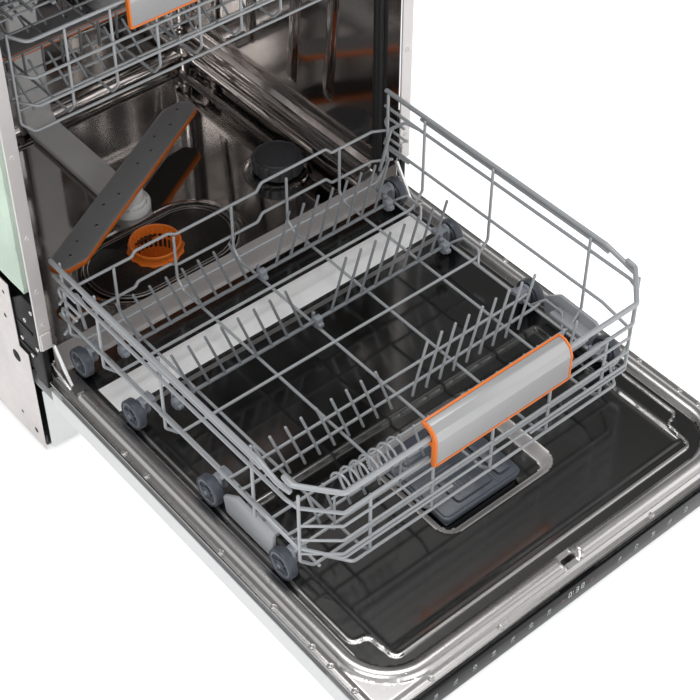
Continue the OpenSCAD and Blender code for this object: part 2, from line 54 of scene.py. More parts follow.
def at(x, y, z):
    return Vector((x * MM, y * MM + FLANGE_Y, z * MM))


# ---------------------------------------------------------------- materials

def nodes_of(name):
    mat = bpy.data.materials.new(name)
    mat.use_nodes = True
    tree = mat.node_tree
    return mat, tree, tree.nodes["Principled BSDF"]


def coordinates(tree, stretch):
    coords = tree.nodes.new("ShaderNodeTexCoord")
    mapping = tree.nodes.new("ShaderNodeMapping")
    mapping.inputs["Scale"].default_value = stretch
    tree.links.new(coords.outputs["Object"], mapping.inputs["Vector"])
    return mapping.outputs["Vector"]


def noise(tree, vector, scale, detail=3.0):
    node = tree.nodes.new("ShaderNodeTexNoise")
    node.inputs["Scale"].default_value = scale
    node.inputs["Detail"].default_value = detail
    tree.links.new(vector, node.inputs["Vector"])
    return node.outputs["Fac"]


def spread(tree, value, low, high):
    node = tree.nodes.new("ShaderNodeMapRange")
    node.inputs["From Min"].default_value = 0.3
    node.inputs["From Max"].default_value = 0.7
    node.inputs["To Min"].default_value = low
    node.inputs["To Max"].default_value = high
    tree.links.new(value, node.inputs["Value"])
    return node.outputs["Result"]


def tint(tree, value, dark, light):
    ramp = tree.nodes.new("ShaderNodeValToRGB")
    ramp.color_ramp.elements[0].position = 0.3
    ramp.color_ramp.elements[0].color = (*dark, 1)
    ramp.color_ramp.elements[1].position = 0.7
    ramp.color_ramp.elements[1].color = (*light, 1)
    tree.links.new(value, ramp.inputs["Fac"])
    return ramp.outputs["Color"]


def bump(tree, value, strength, distance):
    node = tree.nodes.new("ShaderNodeBump")
    node.inputs["Strength"].default_value = strength
    node.inputs["Distance"].default_value = distance
    tree.links.new(value, node.inputs["Height"])
    return node.outputs["Normal"]


def finish_of(name, color, vary, rough, grain, depth, metallic=0.0, stretch=(1, 1, 1), coat=0.0,
              strength=0.25, shine=0.5):
    """A surface with slow changes of colour, changes of roughness along its grain, and fine relief."""
    mat, tree, shader = nodes_of(name)
    plain = coordinates(tree, (1, 1, 1))
    along = coordinates(tree, stretch)
    cloud = noise(tree, plain, 9.0, 4.0)
    fine = noise(tree, along, grain)
    dark = [max(0.0, c * (1 - vary)) for c in color]
    light = [min(1.0, c * (1 + vary)) for c in color]
    tree.links.new(tint(tree, cloud, dark, light), shader.inputs["Base Color"])
    tree.links.new(spread(tree, fine, rough[0], rough[1]), shader.inputs["Roughness"])
    tree.links.new(bump(tree, fine, strength, depth), shader.inputs["Normal"])
    shader.inputs["Metallic"].default_value = metallic
    shader.inputs["Specular IOR Level"].default_value = shine
    shader.inputs["Coat Weight"].default_value = coat
    shader.inputs["Coat Roughness"].default_value = 0.12
    return mat


# The tub steel in two copies: this darker one for the roof and floor pan is painted shade (darker
# reflections).
SHADED_TUB_STEEL = finish_of("tub_steel_shaded_copy", (0.46, 0.445, 0.43), 0.03, (0.05, 0.08), 30, 0.00002, 1.0,
                   (1, 6, 1), strength=0.01)
# A darkened copy of the door liner's steel, painted over the middle of the liner as painted dark reflection.
SHADED_DOOR_STEEL = finish_of("door_steel", (0.17, 0.166, 0.162), 0.03, (0.12, 0.15), 30, 0.00002, 1.0,
                       (6, 1, 1), strength=0.01)
# Lighter steel: the real finish of the screw heads and sieve rims, and a lit copy of the door liner's steel
# painted on its rim, bead and emboss line as painted highlight.
BRIGHT_STEEL_AND_HIGHLIGHT = finish_of("bright_steel_and_painted_highlight", (0.54, 0.525, 0.515), 0.02, (0.27, 0.31), 40, 0.00002, 1.0,
                   (1, 8, 1), strength=0.01)
# The lighter copy of the tub steel for the side and rear walls: painted highlight (brighter reflections).
LIT_TUB_STEEL = finish_of("tub_steel_lit_copy", (0.64, 0.61, 0.595), 0.03, (0.09, 0.12), 40, 0.00002, 1.0,
                       (1, 6, 1), strength=0.01)
# Satin steel of the sill and the tub flange, and a lit copy painted on the slope of the door's tray as
# painted sheen.
SATIN_STEEL_AND_SHEEN = finish_of("satin_steel_and_painted_sheen", (0.60, 0.575, 0.565), 0.03, (0.34, 0.44), 60, 0.00002, 0.55,
                  (6, 1, 1), strength=0.01)
RAIL = finish_of("rail_steel", (0.62, 0.61, 0.60), 0.05, (0.14, 0.26), 120, 0.00005, 1.0,
                 (1, 9, 1), strength=0.2)
ZINC = finish_of("zinc_sheet", (0.62, 0.585, 0.575), 0.10, (0.30, 0.46), 60, 0.0002, 0.65, (1, 1, 3))
PANEL = finish_of("light_panel", (0.62, 0.628, 0.63), 0.02, (0.38, 0.48), 500, 0.00005, strength=0.1)
MAT_GREEN = finish_of("mat_green", (0.56, 0.68, 0.58), 0.12, (0.85, 0.98), 420, 0.0012,
                      stretch=(1, 1, 0.4), strength=0.7)
DARK = finish_of("dark_plastic", (0.075, 0.078, 0.083), 0.10, (0.42, 0.60), 700, 0.0002)
BLACK = finish_of("black_plastic", (0.010, 0.010, 0.011), 0.15, (0.40, 0.52), 600, 0.0002, shine=0.10)
RUBBER = finish_of("seal_rubber", (0.012, 0.012, 0.013), 0.2, (0.42, 0.60), 900, 0.0002)
PALE = finish_of("pale_plastic", (0.70, 0.70, 0.66), 0.05, (0.35, 0.5), 500, 0.0002)
DUCT = finish_of("duct_plastic", (0.74, 0.74, 0.735), 0.05, (0.28, 0.40), 500, 0.0001,
                 coat=0.15, strength=0.08)
ORANGE = finish_of("orange_plastic", (0.70, 0.165, 0.018), 0.06, (0.32, 0.44), 500, 0.0001, coat=0.08)
ARM = finish_of("arm_plastic", (0.225, 0.225, 0.228), 0.04, (0.30, 0.40), 600, 0.0001,
                coat=0.15, strength=0.08)
CAP = finish_of("cap_plastic", (0.035, 0.036, 0.04), 0.15, (0.46, 0.62), 260, 0.0008, strength=0.6)
WIRE = finish_of("coated_wire", (0.31, 0.322, 0.334), 0.05, (0.26, 0.38), 300, 0.0002, metallic=0.1,
                 coat=0.2, strength=0.1)
TINE = finish_of("tine_coating", (0.145, 0.155, 0.165), 0.06, (0.28, 0.40), 300, 0.0002,
                 coat=0.15, strength=0.1)
HANDLE = finish_of("handle_plastic", (0.36, 0.36, 0.364), 0.02, (0.30, 0.36), 800, 0.00005, metallic=0.2,
                   coat=0.1, strength=0.03)
WHEEL = finish_of("wheel_plastic", (0.05, 0.058, 0.072), 0.10, (0.34, 0.48), 500, 0.0002)
WHEEL_LIGHT = finish_of("clip_plastic", (0.19, 0.205, 0.23), 0.08, (0.32, 0.46), 500, 0.0002)
SHELF = finish_of("shelf_plastic", (0.29, 0.30, 0.315), 0.05, (0.32, 0.46), 500, 0.0002)
UNIT = finish_of("dispenser_plastic", (0.055, 0.065, 0.080), 0.08, (0.32, 0.46), 500, 0.0002)
GLASS = finish_of("control_glass", (0.006, 0.006, 0.007), 0.1, (0.16, 0.22), 400, 0.00002, shine=0.08)
# Near-white steel of the hinge links, and a white band across the door liner near its hinge end as painted
# reflection.
PALE_STEEL_AND_REFLECTION = finish_of("pale_steel_and_painted_reflection", (0.93, 0.925, 0.92), 0.03, (0.30, 0.42), 90, 0.00002, 0.35,
                        (6, 1, 1), strength=0.04)
MARK = finish_of("panel_marks", (0.62, 0.63, 0.64), 0.05, (0.4, 0.5), 400, 0.00002)
RED_MARK = finish_of("red_marks", (0.6, 0.05, 0.03), 0.05, (0.4, 0.5), 400, 0.00002)


def sieve_finish():
    """Dark stainless sheet with a close grid of fine holes, painted near-black as painted shade in the holes.
    """
    mat, tree, shader = nodes_of("filter_mesh")
    vector = coordinates(tree, (1, 1, 1))
    holes = tree.nodes.new("ShaderNodeTexVoronoi")
    holes.inputs["Scale"].default_value = 620
    holes.inputs["Randomness"].default_value = 0.25
    tree.links.new(vector, holes.inputs["Vector"])
    # near-black at the hole centres: painted shade where the holes are
    tree.links.new(tint(tree, holes.outputs["Distance"], (0.008, 0.008, 0.008), (0.12, 0.11, 0.10)),
                   shader.inputs["Base Color"])
    tree.links.new(bump(tree, holes.outputs["Distance"], 0.6, 0.0004), shader.inputs["Normal"])
    shader.inputs["Metallic"].default_value = 0.8
    shader.inputs["Roughness"].default_value = 0.34
    return mat


SIEVE = sieve_finish()


# ---------------------------------------------------------------- mesh tools

def rounded(points, radius, steps=5, closed=False):
    """The path with each corner replaced by an arc."""
    pts = [Vector(p) for p in points]
    last = len(pts) - 1
    out = []
    for i, p in enumerate(pts):
        if not closed and i in (0, last):
            out.append(p)
            continue
        back = pts[i - 1] - p
        ahead = pts[(i + 1) % len(pts)] - p
        turn = back.angle(ahead)
        if turn > math.radians(176):
            out.append(p)
            continue
        cut = min(radius / math.tan(turn / 2), back.length * 0.49, ahead.length * 0.49)
        r = cut * math.tan(turn / 2)
        centre = p + (back.normalized() + ahead.normalized()).normalized() * math.hypot(cut, r)
        a = p + back.normalized() * cut - centre
        b = p + ahead.normalized() * cut - centre
        out += [centre + a.normalized().slerp(b.normalized(), k / steps) * r for k in range(steps + 1)]
    return out


def outline(points, radius, steps):
    """A closed outline of 2-D points with round corners."""
    return [(p.x, p.y) for p in rounded([(*p, 0) for p in points], radius, steps, closed=True)]


def around(centre, r, turn, z):
    """The place at a radius and an angle from a centre, at a height."""
    return centre[0] + r * math.cos(turn), centre[1] + r * math.sin(turn), z


def plate(x0, y0, x1, y1, r):
    """The outline of a rectangle with round corners."""
    return outline([(x0, y0), (x1, y0), (x1, y1), (x0, y1)], r, 6)


def flat_rect(x0, y0, x1, y1, r, steps):
    """The same rectangle as Vectors at height 0."""
    return rounded([(x0, y0, 0), (x1, y0, 0), (x1, y1, 0), (x0, y1, 0)], r, steps, closed=True)


WIRE_END = ((0.0, 0.45), (0.25, 0.85), (0.6, 1.0))  # the rounding of a wire's end, in radii


class Shape:
    """Collects faces in millimetres and becomes one Blender object."""

    def __init__(self):
        self.verts = []
        self.faces = []
        self.slots = []
        self.paint = 0

    def face(self, indices):
        self.faces.append(tuple(indices))
        self.slots.append(self.paint)

    def rings(self, rings, closed=False, caps=True, round_way=True):
        """Skins rings of equal length; each ring is a closed loop unless round_way is False."""
        first = len(self.verts)
        n = len(rings[0])
        for ring in rings:
            self.verts += [tuple(p) for p in ring]
        rows = len(rings)
        for i in range(rows if closed else rows - 1):
            a = first + i * n
            b = first + ((i + 1) % rows) * n
            for k in range(n if round_way else n - 1):
                m = (k + 1) % n
                self.face((a + k, a + m, b + m, b + k))
        if caps and not closed and round_way:
            self.face(range(first + n - 1, first - 1, -1))
            self.face(range(first + (rows - 1) * n, first + rows * n))

    def wire(self, path, r, bend=6.0, sides=10, closed=False):
        """A round wire along a path, with bent corners and rounded ends."""
        pts = rounded(path, bend, 5, closed)
        count = len(pts)
        tangents = []
        for i in range(count):
            before = pts[i - 1] if closed or i > 0 else pts[i]
            after = pts[(i + 1) % count] if closed or i < count - 1 else pts[i]
            tangents.append((after - before).normalized())
        normal = tangents[0].orthogonal().normalized()
        rings = []
        for i, p in enumerate(pts):
            if i:
                normal = tangents[i - 1].rotation_difference(tangents[i]) @ normal
            side = tangents[i].cross(normal).normalized()
            up = side.cross(tangents[i]).normalized()
            angles = [2 * math.pi * k / sides for k in range(sides)]
            ring = [(up * math.cos(t) + side * math.sin(t)) * r for t in angles]
            if closed or 0 < i < count - 1:
                rings.append([p + q for q in ring])
                continue
            inward = tangents[i] * r * (1 if i == 0 else -1)
            steps = WIRE_END if i == 0 else WIRE_END[::-1]
            rings += [[p + inward * along + q * size for q in ring] for along, size in steps]
        self.rings(rings, closed=closed)

    def wires(self, path, r, bend=6.0, sides=10):
        """A wire on the left and its mirror image on the right."""
        for sign in (-1, 1):
            self.wire([(sign * x, y, z) for x, y, z in path], r, bend, sides)

    def turned(self, profile, centre, axis="z", steps=40, ripple=None):
        """Revolves (radius, height) points about an axis through centre."""
        rings = []
        for radius, height in profile:
            ring = []
            for k in range(steps):
                t = 2 * math.pi * k / steps
                r = max(radius, 0.02) * (ripple(t, radius) if ripple else 1.0)
                u, v = r * math.cos(t), r * math.sin(t)
                local = {"z": (u, v, height), "x": (height, u, v), "y": (v, height, u)}[axis]
                ring.append(Vector(centre) + Vector(local))
            rings.append(ring)
        self.rings(rings, caps=profile[0] != profile[-1])

    def merge(self, bm):
        """Takes over the faces of a bmesh."""
        base = len(self.verts)
        bm.verts.ensure_lookup_table()
        self.verts += [tuple(v.co) for v in bm.verts]
        for f in bm.faces:
            self.face([base + v.index for v in f.verts])
        bm.free()

    def block(self, low, high, bevel=1.0, segments=2):
        """A box between two corners, with its edges rounded."""
        bm = bmesh.new()
        bmesh.ops.create_cube(bm, size=1.0)
        low, high = Vector(low), Vector(high)
        for v in bm.verts:
            v.co = Vector([low[i] + (v.co[i] + 0.5) * (high[i] - low[i]) for i in range(3)])
        limit = min(bevel, 0.45 * min(high[i] - low[i] for i in range(3)))
        bmesh.ops.bevel(bm, geom=bm.edges[:], offset=limit, segments=segments, profile=0.5, affect="EDGES")
        bm.verts.index_update()
        self.merge(bm)

    def pair(self, low, high, bevel):
        """A block on the right and its mirror image on the left."""
        self.block(low, high, bevel)
        self.block((-high[0], *low[1:]), (-low[0], *high[1:]), bevel)

    def prism(self, corners, axis, low, high, bevel=0.8):
        """An outline of 2-D points pushed along an axis, with its rims rounded."""
        bm = bmesh.new()
        order = {"z": (0, 1, 2), "x": (2, 0, 1), "y": (0, 2, 1)}[axis]
        ends = [[bm.verts.new([(*p, h)[k] for k in order]) for p in corners] for h in (low, high)]
        bm.faces.new(ends[0])
        bm.faces.new(ends[1])
        n = len(corners)
        for k in range(n):
            bm.faces.new((ends[0][k], ends[0][(k + 1) % n], ends[1][(k + 1) % n], ends[1][k]))
        bmesh.ops.recalc_face_normals(bm, faces=bm.faces[:])
        rims = [e for e in bm.edges if len({v in ends[0] for v in e.verts}) == 1]
        if bevel:
            bmesh.ops.bevel(bm, geom=rims, offset=bevel, segments=2, profile=0.5, affect="EDGES")
        bm.verts.index_update()
        self.merge(bm)

    def sheet(self, us, vs, place, thickness, back):
        """A thin sheet over a grid; place(U, V) gives the front face and back its way to the rear face."""
        grid_u, grid_v = np.meshgrid(us, vs, indexing="ij")
        front = np.stack(place(grid_u, grid_v), axis=-1).reshape(-1, 3)
        rear = front + np.array(back) * thickness
        base = len(self.verts)
        nu, nv = len(us), len(vs)
        total = nu * nv
        self.verts += [tuple(p) for p in front] + [tuple(p) for p in rear]
        for i in range(nu - 1):
            for j in range(nv - 1):
                a = base + i * nv + j
                quad = (a, a + nv, a + nv + 1, a + 1)
                self.face(quad)
                self.face([k + total for k in reversed(quad)])
        edge = [i * nv for i in range(nu)] + [(nu - 1) * nv + j for j in range(1, nv)]
        edge += [i * nv + nv - 1 for i in range(nu - 2, -1, -1)] + list(range(nv - 2, 0, -1))
        for a, b in zip(edge, edge[1:] + edge[:1]):
            self.face((base + b, base + a, base + a + total, base + b + total))

    def mirrored(self):
        """Adds the mirror image in x of everything so far."""
        shift = len(self.verts)
        self.verts += [(-x, y, z) for x, y, z in self.verts]
        self.faces += [tuple(k + shift for k in reversed(f)) for f in self.faces]
        self.slots += self.slots

    def middle(self, face):
        return [sum(self.verts[k][axis] for k in face) / len(face) for axis in range(3)]

    def drop(self, unwanted):
        """Cuts away the faces whose middle is unwanted, as around a hole or a notch."""
        kept = [k for k, face in enumerate(self.faces) if not unwanted(*self.middle(face))]
        self.faces = [self.faces[k] for k in kept]
        self.slots = [self.slots[k] for k in kept]

    def done(self, name, body, slot, materials, *replaced, angle=35):
        mesh = bpy.data.meshes.new(name)
        mesh.from_pydata([at(*v) for v in self.verts], [], self.faces)
        if isinstance(materials, bpy.types.Material):
            materials = [materials]
        for material in materials:
            mesh.materials.append(material)
        mesh.polygons.foreach_set("material_index", self.slots)
        mesh.validate()
        bm = bmesh.new()
        bm.from_mesh(mesh)
        bmesh.ops.recalc_face_normals(bm, faces=bm.faces[:])
        bm.to_mesh(mesh)
        bm.free()
        mesh.polygons.foreach_set("use_smooth", [True] * len(mesh.polygons))
        mesh.set_sharp_from_angle(angle=math.radians(angle))
        obj = bpy.data.objects.new(name, mesh)
        bpy.context.scene.collection.objects.link(obj)
        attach(obj, body)
        if replaced:
            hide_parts(*replaced)
        return obj


def soft_step(t):
    """From 0 to 1 with a smooth start and end."""
    t = np.clip(t, 0.0, 1.0)
    return t * t * (3 - 2 * t)


def distance_to(xs, ys, path, closed=True):
    """Distance of each grid point from a polyline, and whether it is inside."""
    best = np.full(xs.shape, 1e9)
    inside = np.zeros(xs.shape, bool)
    pts = [(p[0], p[1]) for p in path]
    pairs = list(zip(pts, pts[1:] + pts[:1] if closed else pts[1:]))
    for (ax, ay), (bx, by) in pairs:
        dx, dy = bx - ax, by - ay
        length = dx * dx + dy * dy
        if length < 1e-9:
            continue
        t = np.clip(((xs - ax) * dx + (ys - ay) * dy) / length, 0, 1)
        best = np.minimum(best, np.hypot(xs - ax - t * dx, ys - ay - t * dy))
        if closed and dy:
            crosses = ((ay > ys) != (by > ys)) & (xs < dx * (ys - ay) / dy + ax)
            inside ^= crosses
    return best, inside


def spaced(stops):
    """Grid lines through a list of (start, step) stretches; the last entry is (end, 0)."""
    out = []
    for (start, step), (end, _) in zip(stops, stops[1:]):
        count = max(1, round((end - start) / step))
        out += [start + (end - start) * k / count for k in range(count)]
    return np.array(out + [stops[-1][0]])


def both(stops):
    """Grid lines that are symmetric about zero, from stretches that start at zero."""
    half = spaced(stops)
    return np.concatenate([-half[:0:-1], half])


# ---------------------------------------------------------------- camera, light, floor

def stage():
    world = bpy.data.worlds.new("studio")
    bpy.context.scene.world = world
    world.use_nodes = True
    tree = world.node_tree
    coords = tree.nodes.new("ShaderNodeTexCoord")
    parts = tree.nodes.new("ShaderNodeSeparateXYZ")
    ramp = tree.nodes.new("ShaderNodeValToRGB")
    tree.links.new(coords.outputs["Generated"], parts.inputs["Vector"])
    tree.links.new(parts.outputs["Z"], ramp.inputs["Fac"])
    stops = ramp.color_ramp.elements
    stops[0].position, stops[0].color = 0.0, (0.95, 0.95, 0.95, 1)
    stops[1].position, stops[1].color = 1.0, (0.42, 0.42, 0.43, 1)
    for place, grey in ((0.22, 0.95), (0.36, 0.55), (0.55, 0.16), (0.72, 0.12), (0.86, 0.5)):
        stop = stops.new(place)
        stop.color = (grey, grey, grey * 1.005, 1)
    tree.links.new(ramp.outputs["Color"], tree.nodes["Background"].inputs["Color"])
    tree.nodes["Background"].inputs["Strength"].default_value = 0.9

    for name, place, aim, size, power in (("key", (-1.9, -1.3, 2.6), (0, 0, 0.3), 1.6, 42),
                                          ("fill", (1.9, -1.6, 1.7), (0, 0, 0.2), 1.8, 16),
                                          ("top", (0.2, 0.1, 2.9), (0, -0.1, 0), 1.2, 26),
                                          ("front", (-0.3, -2.6, 0.9), (0, 0, 0.3), 1.6, 14)):
        lamp = bpy.data.lights.new(name, "AREA")
        lamp.energy = power
        lamp.size = size
        obj = bpy.data.objects.new(name, lamp)
        bpy.context.scene.collection.objects.link(obj)
        obj.location = place
        obj.rotation_euler = (Vector(aim) - Vector(place)).to_track_quat("-Z", "Y").to_euler()

    mesh = bpy.data.meshes.new("floor")
    mesh.from_pydata([(-9, -9, 0), (9, -9, 0), (9, 9, 0), (-9, 9, 0)], [], [(0, 1, 2, 3)])
    floor = bpy.data.objects.new("floor", mesh)
    bpy.context.scene.collection.objects.link(floor)
    floor.location.z = -0.0005
    mat, tree, shader = nodes_of("floor_paint")
    shader.inputs["Base Color"].default_value = (0.9, 0.9, 0.9, 1)
    shader.inputs["Roughness"].default_value = 0.9
    shader.inputs["Emission Color"].default_value = (1, 1, 1, 1)
    shader.inputs["Emission Strength"].default_value = 0.45
    mesh.materials.append(mat)

    lens = bpy.data.cameras.new("camera")
    lens.lens = 84.07
    lens.sensor_width = 36
    lens.shift_x = 0.0029
    lens.shift_y = -0.0699
    camera = bpy.data.objects.new("camera", lens)
    bpy.context.scene.collection.objects.link(camera)
    camera.location = (-0.906, -1.261, 1.645)
    camera.rotation_euler = (math.radians(90 - 43.8), 0, math.radians(-39.9))
    bpy.context.scene.camera = camera
    bpy.context.scene.view_settings.view_transform = "Standard"


stage()


# ---------------------------------------------------------------- casing

BODY_X, BODY_D, BODY_H = 299, 540, 818
TUB_X, TUB_BACK, FLOOR_Z, CEILING_Z = 280, 515, 118, 796
SILL_Z = 167.4
ARM_Y, LOWER_ARM_Z, UPPER_ARM_Z = 264, 155, 452
ROLLER_Z = 560.4
MAT_FOOT, MAT_TOP, MAT_REAR = 294, 790, 510
SUMP, SALT = (-23, 165), (215, 193)


def casing():
    sides = Shape()

    def side_face(sign):
        def place(y, z):
            rib = 1.2 * (soft_step((8 - abs(y - 300)) / 5) * soft_step((z - 60) / 6)
                         * soft_step((250 - z) / 6))
            rib = rib + 1.2 * soft_step((26 - abs(z - 150)) / 5) * soft_step((abs(y - 300) - 60) / 6) \
                * soft_step((220 - abs(y - 300)) / 6)
            return sign * (BODY_X - 1.0 - rib), y, z
        return place
    for sign in (-1, 1):
        ys = spaced([(40, 4), (537, 0)])
        zs = spaced([(6, 4), (290, 0)])
        sides.sheet(ys, zs, side_face(sign), 0.9, (-sign, 0, 0))
    sides.drop(lambda x, y, z: y < 62 and z > 186)
    sides.done("side_sheets", "cabinet", "zinc_sheet", ZINC, "side_panels")

    fittings = Shape()
    for sign in (-1, 1):
        for y, z, r in ((90, 40, 3), (490, 40, 3), (58, 30, 4.5), (84, 222, 3.6), (76, 268, 3), (120, 268, 3),
                        (440, 262, 4), (505, 215, 4), (505, 90, 3)):
            x = BODY_X - 1.0
            profile = [(r + 2.2, x - 0.4), (r + 1.9, x + 0.15), (r + 0.2, x + 0.3),
                       (r - 0.4, x - 0.1), (r - 0.6, x - 0.8)]
            fittings.paint = 0
            fittings.turned([(a, sign * b) for a, b in profile[:4]], (0, y, z), "x", 24)
            fittings.paint = 1
            fittings.turned([(r - 0.4, sign * (x + 0.02)), (r - 0.5, sign * (x + 0.32))], (0, y, z), "x", 20)
    fittings.done("side_eyelets", "cabinet", "zinc_sheet", [ZINC, BLACK])

    rear = Shape()

    def rear_face(x, z):
        depth = 0 * x
        for cx in (-180, 0, 180):
            depth = depth + 2.0 * soft_step((58 - abs(x - cx)) / 6) * soft_step((z - 70) / 8) \
                * soft_step((760 - z) / 8)
        return x, BODY_D - depth * 0.9, z
    rear.sheet(both([(0, 4), (298, 0)]), spaced([(6, 9), (60, 3), (82, 14), (748, 3), (770, 8), (812, 0)]),
               rear_face, 0.8, (0, -1, 0))
    rear.done("rear_sheet", "cabinet", "zinc_sheet", ZINC, "rear_panel")

    top = Shape()

    def top_face(x, y):
        rim = soft_step((250 - abs(x)) / 8) * soft_step((y - 50) / 8) * soft_step((500 - y) / 8)
        cross = soft_step((14 - abs(y - 270)) / 6) + soft_step((14 - abs(x)) / 6)
        return x, y, BODY_H - 2.4 * rim * np.clip(1 - cross, 0, 1)
    top.sheet(both([(0, 4), (20, 12), (236, 3), (256, 10), (291, 0)]),
              spaced([(8, 8), (44, 3), (60, 14), (250, 3), (290, 14), (490, 3), (510, 8), (537, 0)]),
              top_face, 0.7, (0, 0, -1))
    for x in (-240, 240):
        top.turned([(7, BODY_H - 2.6), (7, BODY_H - 0.3), (6, BODY_H), (2.6, BODY_H), (2.5, BODY_H - 2.6)],
                   (x, 20, 0))
    top.done("top_sheet", "cabinet", "zinc_sheet", ZINC, "top_frame")

    mats = Shape()
    rough = np.random.default_rng(3)
    for sign, y0 in ((-1, 30), (1, 270)):
        ys = spaced([(y0, 8), (MAT_REAR, 0)])
        zs = spaced([(MAT_FOOT, 8), (MAT_TOP, 0)])
        lumps = rough.normal(0, 0.25, (len(ys), len(zs)))

        def place(y, z, sign=sign, lumps=lumps, y0=y0):
            edge = np.minimum(np.minimum(y - y0, MAT_REAR - y), np.minimum(z - MAT_FOOT, MAT_TOP - z))
            quilt = 1.2 * np.cos(y / 31) * np.cos(z / 37)
            return sign * (296.9 - 3.5 * (1 - soft_step(edge / 9)) - 1.0 + lumps - np.clip(quilt, 0, 2)), y, z
        mats.sheet(ys, zs, place, 11, (-sign, 0, 0))
    mats.done("side_mats", "cabinet", "mat_green", MAT_GREEN, "insulation_mats", angle=60)

    base = Shape()
    base.block((-290, 36, 8), (290, 39, 115), 1.2)
    base.done("kick_plate", "cabinet", "light_panel", PANEL, "plinth_plate")
    tray = Shape()
    tray.block((-293, 45, 6), (293, 537, 10), 1.5)
    for y in range(90, 520, 60):
        tray.block((-290, y, 10), (290, y + 3, 15), 0.8)
    for x in (-292.9, 289.9):
        tray.block((x, 46, 10), (x + 3, 536, 24), 0.8)
    tray.done("floor_tray", "cabinet", "dark_plastic", DARK, "base_tray")
    feet = Shape()
    for x in (-250, 250):
        for y in (62, 505):
            pad = [(17, 0), (18, 1), (18, 3.5), (16.5, 5), (9, 5.5), (8, 9), (5, 9.2)]
            pad += [p for h in range(10, 33, 2) for p in ((5.0, h), (4.4, h + 1))] + [(4.4, 34), (0.1, 34)]
            feet.turned(pad, (x, y, 0), "z", 28)
    feet.done("screw_feet", "cabinet", "dark_plastic", DARK, "adjustable_feet")


casing()


# ---------------------------------------------------------------- tub

